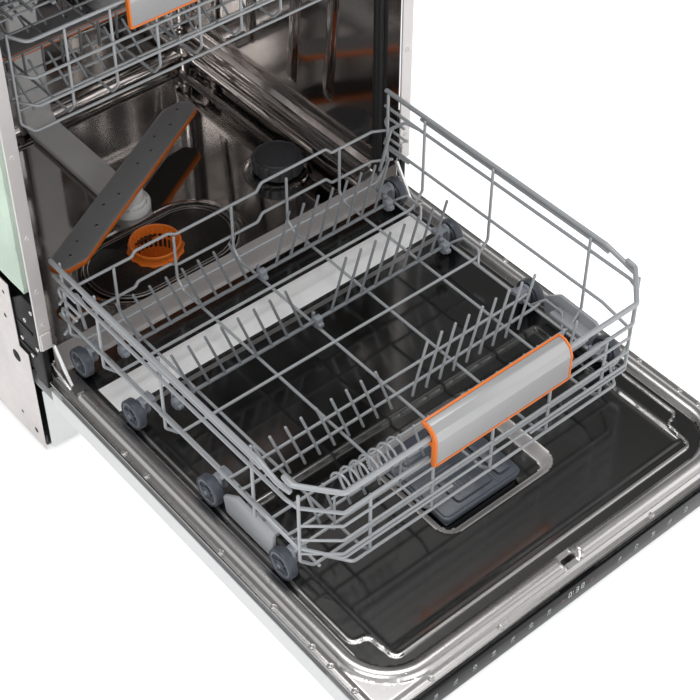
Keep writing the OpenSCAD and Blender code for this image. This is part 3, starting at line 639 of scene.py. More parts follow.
def tub():
    walls = Shape()

    def wall_face(sign):
        def place(y, z):
            relief = 0 * y
            for cy, top, foot in ((150, 500, 240), (230, 470, 225), (330, 500, 240), (415, 470, 225)):
                line = np.abs(y - cy - 0.10 * (300 - z))
                relief = relief + 3.2 * soft_step((9 - line) / 6) * soft_step((z - foot) / 12) \
                    * soft_step((top - z) / 12)
            relief = relief + 4.0 * soft_step((22 - np.abs(z - 640)) / 8) * soft_step((y - 90) / 10) \
                * soft_step((480 - y) / 10)
            corner = 14 * (1 - np.sqrt(np.clip(1 - np.clip((y - (TUB_BACK - 26)) / 26, 0, 1) ** 2, 0, 1)))
            return sign * (TUB_X - relief - corner * 1.7), y, z
        return place
    ys = spaced([(4, 6), (34, 3), (66, 6), (100, 3), (480, 2), (TUB_BACK, 0)])
    zs = spaced([(FLOOR_Z + 52, 6), (216, 3), (250, 8), (460, 3), (510, 10), (610, 3),
                 (670, 10), (CEILING_Z, 0)])
    low_ys = spaced([(80, 6), (480, 2), (TUB_BACK, 0)])
    low_zs = spaced([(FLOOR_Z, 5), (FLOOR_Z + 52, 0)])
    ledge = rounded([(0, 281, 168), (0, 262, 168), (0, 262, 165), (0, 249, 165), (0, 248, 168), (0, 248, 172),
                     (0, 252, 172.6), (0, 257, 172.6), (0, 259, 170.8), (0, 264, 170.8), (0, 266, 172.6),
                     (0, 271, 172.6), (0, 275, 176), (0, 279.6, 184)], 1.6, 3)
    walls.rings([[Vector((p.y, y, p.z)) for p in ledge] for y in (56, 58, 280, 504, 506)])
    walls.mirrored()
    for sign in (-1, 1):
        walls.sheet(ys, zs, wall_face(sign), 0.8, (sign, 0, 0))
        walls.sheet(low_ys, low_zs, wall_face(sign), 0.8, (sign, 0, 0))
    # The walls take the lighter copy of the tub steel: painted highlight.
    walls.done("tub_walls", "cabinet", "tub_steel", LIT_TUB_STEEL, "tub_sides")

    roof = Shape()

    def roof_face(x, y):
        dip = 3 * soft_step((200 - np.abs(x)) / 14) * soft_step((y - 60) / 14) * soft_step((470 - y) / 14)
        return x, y, CEILING_Z + 1.0 - dip
    roof.sheet(both([(0, 14), (180, 4), (204, 14), (281, 0)]),
               spaced([(4, 8), (52, 4), (76, 14), (450, 4), (474, 8), (TUB_BACK, 0)]),
               roof_face, 0.8, (0, 0, 1))
    # The roof takes the darker copy of the tub steel: painted shade.
    roof.done("tub_roof", "cabinet", "tub_steel", SHADED_TUB_STEEL, "tub_ceiling")

    back = Shape()

    def back_face(x, z):
        pan = 4.5 * soft_step((62 - np.abs(np.abs(x) - 130)) / 10) * soft_step((z - 240) / 12) \
            * soft_step((740 - z) / 12)
        foot = 16 * (1 - np.sqrt(np.clip(1 - np.clip((FLOOR_Z + 24 - z) / 24, 0, 1) ** 2, 0, 1)))
        return x, TUB_BACK + 0.1 - pan * 0.9 - foot, z
    back.sheet(both([(0, 12), (60, 3), (84, 14), (176, 3), (200, 12), (281, 0)]),
               spaced([(FLOOR_Z - 1, 2), (144, 10), (236, 3), (256, 16), (724, 3), (744, 10), (797, 0)]),
               back_face, 0.8, (0, 1, 0))
    # The rear wall takes the lighter copy of the tub steel: painted highlight.
    back.done("tub_rear_wall", "cabinet", "tub_steel", LIT_TUB_STEEL, "tub_back")

    floor = Shape()
    sieve_edge = flat_rect(-140, 90, 97, 222, 63, steps=12)

    def floor_face(x, y):
        to_sieve, inside = distance_to(x, y, sieve_edge)
        signed = np.where(inside, -to_sieve, to_sieve)
        rim = 1.6 * soft_step((6 - np.abs(signed - 4)) / 4)
        dish = -2.0 * soft_step(-signed / 6)
        cap = np.hypot(x - SALT[0], y - SALT[1])
        collar = 3.0 * soft_step((50 - cap) / 7)
        side = np.minimum(TUB_X - np.abs(x), TUB_BACK - y)
        fillet = 13 * (1 - np.sqrt(np.clip(1 - np.clip((18 - side) / 18, 0, 1) ** 2, 0, 1)))
        rear = 9 * soft_step((6 - np.abs(side - 34)) / 5) * 0.25
        return x, y, FLOOR_Z + rim + dish + collar + fillet + rear
    xs = both([(0, 4), (90, 2.5), (150, 4), (236, 2), (281, 0)])
    ys = spaced([(79, 3), (100, 2.5), (232, 4), (470, 2), (TUB_BACK, 0)])
    floor.sheet(xs, ys, floor_face, 0.8, (0, 0, -1))
    floor.drop(lambda x, y, z: math.dist((x, y), SUMP) < 46 or math.dist((x, y), SALT) < 27)
    for centre, r, steps, top, foot in ((SUMP, 48, 48, 117, 100), (SALT, 29, 36, 120.5, 108)):
        turns = np.linspace(0, 2 * math.pi, steps, endpoint=False)
        floor.rings([[Vector(around(centre, r, t, z)) for t in turns] for z in (top, foot)], caps=False)
    # The floor pan takes the darker copy of the tub steel: painted shade.
    floor.done("tub_floor_pan", "cabinet", "tub_steel", SHADED_TUB_STEEL, "tub_floor")

    sill = Shape()
    bend = rounded([(0, 4, 166.2), (0, 8, SILL_Z - 0.2), (0, 47, SILL_Z - 0.2), (0, 52, 162), (0, 74, 124),
                    (0, 80, FLOOR_Z - 0.6), (0, 86, FLOOR_Z - 0.7)], 4, 4)
    rings = []
    for x in np.concatenate([[-279.8, -277, -270], np.linspace(-262, 262, 5), [270, 277, 279.8]]):
        lift = 8 * max(0.0, (abs(x) - 262) / 18) ** 2
        rings.append([Vector((x, p.y, p.z + lift)) for p in bend])
    sill.rings(rings, caps=False, round_way=False)
    sill.done("sill_sheet", "cabinet", "tub_steel", SATIN_STEEL_AND_SHEEN, "door_sill")

    rim = Shape()
    rim.pair((281, 0.1, 222), (BODY_X, 2.8, 810), 1.0)
    for x in (-297.5, 282.5):
        rim.block((x, -2.4, 223), (x + 14.5, 0.2, 250), 1.0)
    for x in (-290, 290):
        for z in (262, 318, 402, 520, 640, 760):
            rim.turned([(3.4, 0.3), (3.2, -0.5), (2.2, -0.7), (1.8, 0.2)], (x, 0, z), "y", 20)
    rim.block((-280, 0.1, 796.5), (280, 2.8, 810), 1.0)
    rim.block((-279.9, 0.1, 162), (279.9, 2.9, 168), 1.0)
    rim.done("mouth_flange", "cabinet", "tub_steel", SATIN_STEEL_AND_SHEEN, "front_flange", angle=18)

    seal = Shape()
    profile = rounded([(279.9, 35, 0), (273.6, 34.5, 0), (272.4, 37, 0), (275.5, 39, 0), (275.5, 41, 0),
                       (272.6, 43, 0), (272.6, 46, 0), (276, 47.5, 0), (274, 51.6, 0), (279.9, 51.8, 0)],
                      1.2, 3, True)
    rings = [[Vector((p.x, p.y, z)) for p in profile] for z in (176, 770)]
    for k in range(1, 7):
        t = math.radians(15 * k)
        rings.append([Vector((254 + (p.x - 254) * math.cos(t), p.y, 770 + (p.x - 254) * math.sin(t)))
                      for p in profile])
    rings.append([Vector((0, p.y, 770 + p.x - 254)) for p in profile])
    seal.rings(rings)
    seal.mirrored()
    seal.done("mouth_seal", "cabinet", "seal_rubber", RUBBER, "door_gasket")


tub()


# ---------------------------------------------------------------- wash system

def wash_system():
    pot = Shape()
    pot.turned([(2, 58), (50, 58), (56, 62), (56, 112), (54, 116.6), (50.5, 116.6), (50, 112), (50, 64),
                (2, 62)], (*SUMP, 0), "z", 48)
    pot.done("sump_bowl", "cabinet", "dark_plastic", DARK, "sump_pot")

    pump = Shape()
    axis = (-118, 0, 62)
    pump.turned([(2, 235), (38, 235), (43, 239), (44, 246), (44, 286), (41, 290), (2, 290)], axis, "y", 40)
    pump.turned([(2, 290.2), (30, 290.2), (33, 293), (34, 300), (34, 380), (31, 388), (12, 390), (2, 390)],
                axis, "y", 40)
    for y in range(300, 380, 9):
        pump.turned([(33.8, y), (34.6, y + 1), (34.6, y + 3), (33.8, y + 4)], axis, "y", 40)
    pump.wire([(-80, 250, 78), (16, 250, 78)], 13.6, 4, 20)
    pump.done("pump_and_motor", "cabinet", "pale_plastic", PALE, "wash_pump")

    drain = Shape()
    drain.turned([(2, 39), (23, 39), (26, 42), (26, 56), (24, 59), (2, 59)], (0, 145, 66), "x", 36)
    drain.turned([(2, 59.2), (18, 59.2), (20, 62), (20, 102), (17, 107), (2, 107)], (0, 145, 66), "x", 36)
    drain.done("drain_unit", "cabinet", "dark_plastic", DARK, "drain_pump")

    tank = Shape()
    tank.block((140, 130, 20), (275, 290, 99.8), 8, 4)
    tank.turned([(29.8, 96), (29.8, 123.6), (28, 124), (24.2, 124), (24, 120), (24, 60)], (*SALT, 0), "z", 40)
    for x in (165, 250):
        tank.block((x - 3, 126, 26), (x + 3, 294, 96), 2)
    tank.done("softener", "cabinet", "pale_plastic", PALE, "softener_tank")

    breaker = Shape()
    breaker.block((281.1, 60, 300), (296.8, 262, 720), 5, 3)
    for z in (360, 450, 540, 630):
        breaker.block((296.2, 84, z), (297, 238, z + 16), 0.4)
    breaker.wire([(290, 84, 320), (290, 84, 690), (290, 238, 690), (290, 238, 340)], 6.2, 30, 14)
    breaker.done("air_break_box", "cabinet", "pale_plastic", PALE, "air_break")

    springs = Shape()
    for x in (-286, 286):
        coil = [(x + 7.6 * math.cos(t), 152 + 146 * t / 113.1, 60 + 7.6 * math.sin(t))
                for t in np.arange(0, 113.1, math.pi / 7)]
        springs.wire(coil, 1.3, 0.1, 7)
    springs.done("door_spring_coils", "cabinet", "rail_steel", RAIL, "door_springs")

    duct = Shape()
    lane = rounded([(0, 296, 125), (0, 492, 125), (0, 507.4, 140), (0, 507.4, 770), (0, 500, 788),
                    (0, 242, 788)], 12, 5)
    rings = []
    for i, p in enumerate(lane):
        ahead = lane[min(i + 1, len(lane) - 1)] - lane[max(i - 1, 0)]
        up = Vector((0, -ahead.z, ahead.y)).normalized()
        section = flat_rect(-24, -6.2, 24, 6.2, 4, steps=3)
        rings.append([p + Vector((q.x, 0, 0)) + up * q.y for q in section])
    duct.rings(rings)
    duct.turned([(6, 764), (6, 784)], (0, ARM_Y, 0), "z", 24)
    for z in (330, 560):
        duct.block((-28, 500.6, z), (28, 514.6, z + 12), 2)
    duct.block((-20, 288, 131.4), (20, 300, 134), 1.2)
    duct.done("water_duct", "cabinet", "duct_plastic", DUCT, "feed_duct")

    hub = Shape()
    hub.turned([(31, 118.2), (31.5, 121), (31.5, 127), (30, 130), (27.5, 131), (27, 128), (25.5, 128),
                (25, 132), (22, 134), (22, 150), (21, 152), (19, 154.2), (9, 154.4)], (0, ARM_Y, 0), "z", 56)
    hub.turned([(8, 152), (8, 162), (7, 164.6), (2, 165)], (0, ARM_Y, 0), "z", 28)
    for k in range(12):
        t = 2 * math.pi * k / 12
        x, y, _ = around((0, ARM_Y), 26.5, t, 0)
        hub.block((x - 1.4, y - 1.4, 126), (x + 1.4, y + 1.4, 133), 0.5)
    hub.done("arm_socket", "cabinet", "duct_plastic", DUCT, "arm_hub")

    sieve = Shape()
    edge = flat_rect(-136, 94, 94, 218, 60, steps=12)
    centre = Vector((*SUMP, 0))

    def inside(inset, z):
        return [p + (centre - p).normalized() * inset + Vector((0, 0, z)) for p in edge]

    def hole(z):
        return [centre + (p - centre).normalized() * 35.5 + Vector((0, 0, z)) for p in edge]
    sieve.rings([inside(0, 118.2), inside(0.3, 119.4), inside(1.5, 120), hole(118.6), hole(117)], caps=False)
    sieve.paint = 1
    for inset, r in ((0.6, 1.0), (6.5, 0.7)):
        sieve.wire(inside(inset, 120.2), r, 0.2, 8, closed=True)
    sieve.done("sieve_plate", "cabinet", "filter_mesh", [SIEVE, BRIGHT_STEEL_AND_HIGHLIGHT], "fine_filter")

    cup = Shape()

    def lobes(t, r):
        return 1 + (0.03 * math.cos(14 * t) if r > 39 else 0)
    cup.turned([(31, 120), (33, 118.6), (39.6, 118.8), (39.8, 120.4), (37, 121.4), (36, 126), (37.4, 129),
                (37, 133), (35, 134), (33.4, 133), (32.4, 128), (31, 120)], (*SUMP, 0), "z", 120, lobes)
    for k in range(28):
        t = 2 * math.pi * k / 28
        cup.wire([around(SUMP, 32, t, 129), around(SUMP, 30.5, t, 100), around(SUMP, 29, t, 70)], 1.5, 4, 6)
    cup.turned([(0.5, 76), (27.6, 77), (28.4, 81), (29.4, 96), (30.2, 96), (28.6, 75), (0.5, 74.6)],
               (*SUMP, 0), "z", 56)
    for z, r in ((112, 31.2), (92, 30.4), (74, 29.6)):
        cup.turned([(r - 1.2, z), (r + 1.0, z), (r + 1.0, z + 3), (r - 1.2, z + 3), (r - 1.2, z)],
                   (*SUMP, 0), "z", 56)
    cup.turned([(0.5, 66.4), (29, 66.4), (31, 69), (31, 76), (28, 76), (27, 70), (0.5, 69.4)],
               (*SUMP, 0), "z", 56)
    for side in (-1, 1):
        cup.block((SUMP[0] - 5, SUMP[1] + side * 36 - 4, 116),
                  (SUMP[0] + 5, SUMP[1] + side * 36 + 2, 124), 1.2)
    cup.done("filter_basket", "filter_cup", "orange_plastic", ORANGE, "coarse_filter")

    cap = Shape()

    def grip(t, r):
        return 1 - (0.06 * max(0.0, math.cos(12 * t)) ** 3 if r > 34 else 0)
    cap.turned([(30, 124.6), (37, 124.6), (38.2, 126.5), (38.2, 142), (36.5, 145.6), (34, 146.6),
                (32.5, 145.4), (31, 145.2), (29.5, 147.2), (20, 147.9), (0.5, 148.2)],
               (*SALT, 0), "z", 144, grip)
    for k in range(9):
        t = 2 * math.pi * k / 9
        cap.turned([(1.3, 147.6), (1.0, 148.35), (0.3, 148.4)], around(SALT, 17, t, 0), "z", 10)
    cap.block((213.4, 174, 147.6), (216.6, 186, 148.4), 0.5)
    cap.done("salt_lid", "salt_cap", "cap_plastic", CAP, "salt_cap")


def spray_arm(name, body, node, centre, turn, half, width, thick):
    """A flat hollow arm: square and swept corners, an orange edge, a pale bevel and rows of nozzles."""
    cx, cy, z0 = centre
    spin = Matrix.Rotation(math.radians(turn), 3, "Z")
    side, sweep = width / 2, 32
    edge = rounded([(-half, side, 0), (-half, -side + 17, 0), (-half + sweep, -side, 0), (half, -side, 0),
                    (half, side - 17, 0), (half - sweep, side, 0)], 15, 6, True)

    def ring(inset, z):
        return [Vector((p.x * (1 - inset / half), p.y * (1 - inset / side), z)) for p in edge]
    arm = Shape()
    count = len(edge)
    arm.paint = 1
    arm.rings([ring(3.0, 0.3), ring(0.6, 2.6), ring(0.0, 4.0), ring(0.0, thick - 2.4),
               ring(0.8, thick - 1.2)], caps=False)
    arm.paint = 0
    arm.face(range(count - 1, -1, -1))
    top = len(arm.verts)
    arm.rings([ring(0.8, thick - 1.2), ring(1.4, thick - 0.8), ring(4.8, thick - 0.2), ring(6.5, thick)],
              caps=False)
    arm.face(range(top + 3 * count, top + 4 * count))
    for k in (-6, -5, -3.6, -2.1, -1.1, 1.4, 2.6, 3.7, 4.9, 6.2):
        x, y = k * (half - 14) / 6.6, 5.5 * math.sin(k * 2.1)
        arm.paint = 0
        arm.turned([(3.4, thick - 0.2), (3.0, thick + 0.5), (2.0, thick + 0.6)], (x, y, 0), "z", 14)
        # black dimple in each nozzle: painted shade standing for the hole
        arm.paint = 2
        arm.turned([(2.0, thick + 0.6), (1.4, thick + 0.2), (0.1, thick + 0.1)], (x, y, 0), "z", 14)
    arm.verts = [tuple(spin @ Vector(v) + Vector((cx, cy, z0))) for v in arm.verts]
    arm.done(name, body, "arm_plastic", [ARM, ORANGE, BLACK], node)


wash_system()
spray_arm("lower_arm_shell", "lower_arm", "lower_spray_arm", (0, ARM_Y, LOWER_ARM_Z), 29.5, 200, 47, 12.4)
spray_arm("upper_arm_shell", "upper_arm", "upper_spray_arm", (0, ARM_Y, UPPER_ARM_Z), 0, 189, 46, 10.4)


def ceiling_spray():
    head = Shape()
    head.turned([(6.1, 776), (6.1, 766.4), (38, 766), (41, 768), (42, 771), (40, 775), (30, 776), (13, 777),
                 (12, 781.4), (6.1, 781.4), (6.1, 776)], (0, ARM_Y, 0), "z", 56)
    for k in range(10):
        t = 2 * math.pi * k / 10
        head.turned([(2.4, 766.3), (1.6, 765.9), (0.4, 766.2)], around((0, ARM_Y), 32, t, 0), "z", 12)
    head.done("ceiling_nozzle", "ceiling_arm", "arm_plastic", ARM, "ceiling_sprayer")
    rails = Shape()
    section = rounded([(277.6, 0, 575.6), (261.2, 0, 575.6), (261.2, 0, 573.2), (277.2, 0, 573.0),
                       (277.4, 0, 548.0), (261.2, 0, 547.8), (261.2, 0, 545.3), (279.6, 0, 545.3),
                       (279.7, 0, 543.6), (279.8, 0, 577.2)], 0.8, 2, True)
    rails.rings([[Vector((p.x, y, p.z)) for p in section] for y in (64.2, 504.8)])
    for y in (90, 300, 470):
        rails.turned([(4.5, 276.9), (4.2, 276.2), (2, 275.9)], (0, y, ROLLER_Z), "x", 18)
    for y in (66, 500):
        rails.block((262, y, 549), (277, y + 3, 572), 0.8)
    rails.mirrored()
    rails.done("basket_channels", "cabinet", "rail_steel", RAIL, "upper_rails")


ceiling_spray()


# ---------------------------------------------------------------- hinges

HINGE = (0, 14, 180)


def hinges():
    covers = Shape()
    cover = outline([(3.5, 200), (3.5, 150), (28, 150), (28, 164), (90, 164), (90, 222), (66, 264),
                     (34, 291), (3.5, 291)], 4, 4)
    covers.prism(cover, "x", 287.2, 295.8, 1.4)
    covers.turned([(8.6, 296.6), (9.2, 298.0), (7.4, 298.8), (3.0, 298.9), (2.6, 298.2), (0.2, 298.2)],
                  (0, 74, 158), "x", 32)
    covers.paint = 1
    for y, z in ((14, 276), (14, 214), (34, 250), (50, 208), (30, 192)):
        covers.turned([(3.4, 295.6), (3.2, 297), (1.6, 297.2), (1.4, 296.6)], (0, y, z), "x", 16)
    covers.paint = 0
    covers.block((295, 20, 196), (297, 60, 201), 0.8)
    covers.block((295, 20, 232), (297, 56, 237), 0.8)
    covers.mirrored()
    covers.done("hinge_brackets", "cabinet", "black_plastic", [BLACK, RAIL], "hinge_covers")

    arms = Shape()
    bar = outline([(-150, 158), (-40, 158), (6, 170), (24, 170), (24, 190), (6, 190),
                   (-36, 171.5), (-150, 171)], 5, 4)
    arms.prism(bar, "x", 283, 286, 0.6)
    arms.turned([(6.5, 281.9), (6.5, 283.2)], HINGE, "x", 24)
    arms.paint = 1
    arms.prism([(1, 220), (6, 218), (-32, 158), (-37, 160)], "x", 277.2, 280.6, 0.6)
    arms.mirrored()
    arms.done("hinge_levers", "door", "rail_steel", [RAIL, PALE_STEEL_AND_REFLECTION], "hinge_arms", angle=18)
    pins = Shape()
    pins.turned([(1, 281.6), (5.4, 281.6), (5.6, 282.4), (4, 282.9), (4, 295), (3.4, 295.5), (1, 295.6)],
                HINGE, "x", 28)
    pins.mirrored()
    pins.done("hinge_bolts", "door", "rail_steel", RAIL, "hinge_pins")


hinges()


# ---------------------------------------------------------------- door

DOOR_X, REACH, TOP_Z = 297.5, 636, 172.7
BEAD_X, BEAD_Y, BEAD_R = 276, -608, 62
DISPENSER = (-66, -480, 50, -362)


def door():
    shell = Shape()
    shell.block((-DOOR_X, -REACH + 2, 128), (DOOR_X, -6, 129.4), 0.6)
    shell.block((-293.5, -8, 128), (293.5, 66, 129.2), 0.5)
    shell.pair((296.2, -596, 128.2), (DOOR_X, -6, 157), 0.6)
    shell.pair((293, -REACH + 1.5, 128), (DOOR_X, -596, 135), 1.2)
    shell.pair((291, -596, 155.8), (296.6, -8, 157), 0.5)
    shell.block((-DOOR_X, -REACH, 128), (DOOR_X, -REACH + 4, 135.4), 1.4)
    shell.done("door_shell", "door", "light_panel", PANEL, "door_outer", angle=18)

    strips = Shape()
    strips.pair((293.6, -REACH + 8, 157.2), (296.4, -30, 168.4), 0.8)
    strips.pair((295, -545, 157.3), (297, -30, 161), 0.7)
    strips.done("door_edge_strips", "door", "seal_rubber", DARK, "door_side_strips")
    seal = Shape()
    lip = rounded([(0, -14, 150), (0, -5.4, 152), (0, -7, 158), (0, -5.2, 164), (0, -7, 171),
                   (0, -14, 171.2)], 1.5, 3, True)
    seal.rings([[Vector((x, p.y, p.z)) for p in lip] for x in (-262, -260, 260, 262)])
    seal.done("door_foot_seal", "door", "seal_rubber", RUBBER, "door_bottom_seal")

    panel = Shape()
    pan = rounded([(-257, -112, 0), (-257, -538, 0), (-237, -543, 0), (-232, -583, 0), (232, -583, 0),
                   (237, -543, 0), (257, -538, 0), (257, -112, 0)], 9, 5, True)
    tray = flat_rect(-84, -502, 98, -344, 24, steps=8)
    ridge = rounded([(-BEAD_X, -55, 0), (-BEAD_X, BEAD_Y, 0), (BEAD_X, BEAD_Y, 0), (BEAD_X, -55, 0)],
                    BEAD_R, 14)

    x0, y0, x1, y1 = DISPENSER

    def face(x, y):
        to_pan, _ = distance_to(x, y, pan)
        z = TOP_Z + 1.3 * soft_step((2.6 - to_pan) / 2.2)
        z -= 2.4 * soft_step((-318 - y) / 9) * soft_step((236 - np.abs(x)) / 9) * soft_step((y + 575) / 9)
        to_tray, in_tray = distance_to(x, y, tray)
        lip = np.where(in_tray, -to_tray, to_tray)
        z -= 12.0 * soft_step(-lip / 15)
        well = (x > x0 - 1) & (x < x1 + 1) & (y > y0 - 1) & (y < y1 + 1)
        z = np.where(well, TOP_Z - 14, z)
        to_ridge, _ = distance_to(x, y, ridge, closed=False)
        z += 7.2 * np.sqrt(np.clip(1 - (to_ridge / 9.5) ** 2, 0, 1)) * soft_step((np.abs(x) - 11) / 2)
        outer = np.maximum(np.abs(x) - 286, -619 - y)
        z -= 2.6 * soft_step(outer / 4)
        latch = (np.abs(x) < 9) & (y < -605) & (y > -611)
        z = np.where(latch, 153, z)
        return x, y, z
    xs = both([(0, 2.2), (12, 3), (62, 2), (104, 5), (228, 2), (250, 1.4), (294, 1.4), (296.4, 0)])
    ys = spaced([(-630, 1.5), (-572, 2.2), (-526, 5), (-512, 2), (-480, 2.5), (-402, 4), (-330, 2), (-306, 7),
                 (-60, 2.5), (-40, 5), (-4, 0)])
    panel.sheet(xs, ys, face, 0.9, (0, 0, -1))
    mid = np.array([panel.middle(corners) for corners in panel.faces])
    on_line = distance_to(mid[:, 0], mid[:, 1], pan)[0] < 1.7
    to_tray, in_tray = distance_to(mid[:, 0], mid[:, 1], tray)
    on_slope = in_tray & (to_tray > 0.5) & (to_tray < 15)
    # The liner is one steel sheet whose slots paint lit and shaded copies of it. The rim, bead and emboss
    # line take painted highlight and the tray slope painted sheen. The band at y -100..-55 takes a white
    # painted reflection, and the rest takes the darkened steel as painted dark reflection.
    painted_highlight, strip, painted_sheen = 1, 2, 3
    for i, (x, y, _) in enumerate(mid):
        x = abs(x)
        corner = max(x - 214, 0) ** 2 + max(-546 - y, 0) ** 2 > 53 ** 2 and x > 214 and y < -546
        if x > 264 or y < -598 or corner or on_line[i]:
            panel.slots[i] = painted_highlight
        # tray slope: painted sheen
        elif on_slope[i]:
            panel.slots[i] = painted_sheen
        # white band across the liner: painted reflection
        elif -100 < y < -55 and x < 258:
            panel.slots[i] = strip
    panel.pair((294.6, -630, 166.5), (296.4, -6, 170.4), 0.6)
    panel.block((-296.4, -631, 168.4), (296.4, -629.4, 170.6), 0.5)
    panel.done("door_liner", "door", "door_steel", [SHADED_DOOR_STEEL, BRIGHT_STEEL_AND_HIGHLIGHT, PALE_STEEL_AND_REFLECTION, SATIN_STEEL_AND_SHEEN],
               "door_inner", angle=50)

    screws = Shape()
    spots = [(sign * 291, y) for sign in (-1, 1) for y in (-585, -545, -514, -447, -350, -205, -159)]
    spots += [(x, -624.6) for x in (-220, -120, 120, 220)]
    for x, y in spots:
        screws.turned([(3.9, 169.6), (3.9, 170.6), (3.2, 172.0), (2.0, 172.6), (1.3, 172.5), (0.9, 171.4),
                       (0.1, 171.3)], (x, y, 0), "z", 20)
    for x in (-240, 240, -30, 30):
        screws.turned([(1.6, 178.6), (1.4, 179.6), (0.2, 179.8)], (x, -607, 0), "z", 12)
    screws.done("door_screw_heads", "door", "rail_steel", BRIGHT_STEEL_AND_HIGHLIGHT, "door_screws")

    latch = Shape()
    latch.block((-24, -629, 146), (24, -597, 153), 1.5)
    for x in (-24, 12):
        latch.block((x, -629, 150), (x + 12, -597, 169), 1.5)
    latch.block((-12, -600, 150), (12, -597, 170), 1.0)
    latch.block((-4, -615, 156), (4, -602, 160), 1.2)
    latch.done("door_lock", "door", "dark_plastic", DARK, "door_latch")


def dispenser():
    unit = Shape()
    unit.block((-65.8, -479.8, 140), (49.8, -362.2, 160), 3)
    unit.prism(plate(*DISPENSER, 8), "z", 164, 174.6, 1.2)
    unit.prism(plate(-69, -483, 53, -359, 10), "z", 168, 172.4, 1.2)
    for k in range(5):
        unit.block((-60, -426 + k * 5, 174), (10, -424 + k * 5, 175.4), 0.5)
    unit.block((-58, -397, 174), (8, -368, 175.6), 1.6)
    unit.block((-50, -392, 175), (0, -373, 176.2), 1.2)
    unit.block((16.5, -478, 174), (19.5, -366, 175.6), 0.8)
    unit.wire([(-52, -372, 176), (-52, -394, 176), (2, -394, 176)], 0.8, 4, 6)
    for y in (-402, -396, -390, -384, -378, -372):
        unit.block((24, y, 174), (46, y + 2.4, 175.6), 0.6)
    unit.paint = 1
    slit = [(-34 + 40 * math.sin(t), -486 + 44 * math.cos(t), 175.4) for t in np.linspace(0.15, 0.95, 9)]
    unit.wire(slit, 1.3, 2, 8)
    unit.done("dispenser_unit", "door", "dispenser_plastic", [UNIT, BLACK], "dispenser_body")

    lid = Shape()
    lid.prism(plate(-41, -473, 15, -433, 5), "z", 176.1, 178.5, 0.7)
    for k in range(4):
        lid.block((-34 + k * 5, -467, 178.1), (-32.4 + k * 5, -439, 178.7), 0.4)
    lid.block((-8, -462, 178.0), (10, -444, 178.7), 0.4)
    lid.done("detergent_cover", "detergent_lid", "dispenser_plastic", UNIT, "dispenser_lid")
    flap = Shape()
    flap.prism(plate(24, -472, 43.9, -408, 4), "z", 176.1, 178.5, 0.7)
    for k in range(6):
        flap.block((27, -466 + k * 9, 178.1), (36, -464 + k * 9, 178.7), 0.3)
    flap.done("rinse_cover", "rinse_flap", "dispenser_plastic", UNIT, "rinse_aid_cap")


def segment_digit(shape, digit, x, z, size):
    """One seven-segment digit lying on the end face of the door."""
    w, h, t = size * 0.5, size, size * 0.11
    bars = {"a": (0, h - t, w, h), "d": (0, 0, w, t), "g": (0, h / 2 - t / 2, w, h / 2 + t / 2),
            "f": (0, h / 2, t, h), "e": (0, 0, t, h / 2), "b": (w - t, h / 2, w, h),
            "c": (w - t, 0, w, h / 2)}
    lit = {"0": "abcdef", "3": "abgcd"}[digit]
    for name in lit:
        x0, z0, x1, z1 = bars[name]
        shape.block((x + x0, -REACH, z + z0), (x + x1, -REACH + 0.5, z + z1), 0.1, 1)


def control_strip():
    strip = Shape()
    strip.prism(plate(-296.4, 136.2, 296.4, 167.8, 3), "y", -REACH + 0.05, -REACH + 3, 0.7)
    strip.done("touch_strip", "door", "control_glass", GLASS, "control_strip")
    marks = Shape()
    for k, digit in enumerate("030"):
        segment_digit(marks, digit, -24 + k * 8.5 + (3 if k else 0), 150, 9)
    for dz in (2.4, 6):
        marks.block((-17.6, -REACH, 150 + dz), (-16.4, -REACH + 0.5, 151.2 + dz), 0.1, 1)
    for k, x in enumerate(range(-250, 260, 28)):
        if abs(x) < 34:
            continue
        y0, y1 = -REACH, -REACH + 0.5
        if k % 3 == 0:
            marks.turned([(2.6, y0 + 0.03), (2.6, y0), (2.0, y0), (2.0, y0 + 0.03)], (x, 0, 153), "y", 20)
            marks.block((x - 0.3, y0, 153), (x + 0.3, y1, 157), 0.1, 1)
        elif k % 3 == 1:
            for row in range(3):
                marks.block((x - 2.4, y0, 151 + row * 1.8), (x + 2.4, y1, 151.6 + row * 1.8), 0.1, 1)
        else:
            for col in range(3):
                marks.block((x - 2.4 + col * 1.9, y0, 151),
                            (x - 1.7 + col * 1.9, y1, 152.6 + col * 1.4), 0.1, 1)
        marks.block((x - 3, y0, 147.4), (x + 3, y1, 147.9), 0.1, 1)
    marks.paint = 1
    for x in (-34, 12):
        marks.block((x, -REACH, 153), (x + 3, -REACH + 0.5, 153.8), 0.1, 1)
        marks.block((x, -REACH, 150.6), (x + 1.6, -REACH + 0.5, 151.4), 0.1, 1)
    marks.done("touch_marks", "door", "control_glass", [MARK, RED_MARK])


door()
dispenser()
control_strip()


# ---------------------------------------------------------------- lower basket

RIM_Z, BASKET_X, FRONT_Y, REAR_Y, WIRE_R = 345, 262, -480, 10, 2.0
HOOP_YS = (-452, -372, -203, -75, -2)
POST_X = 256.4


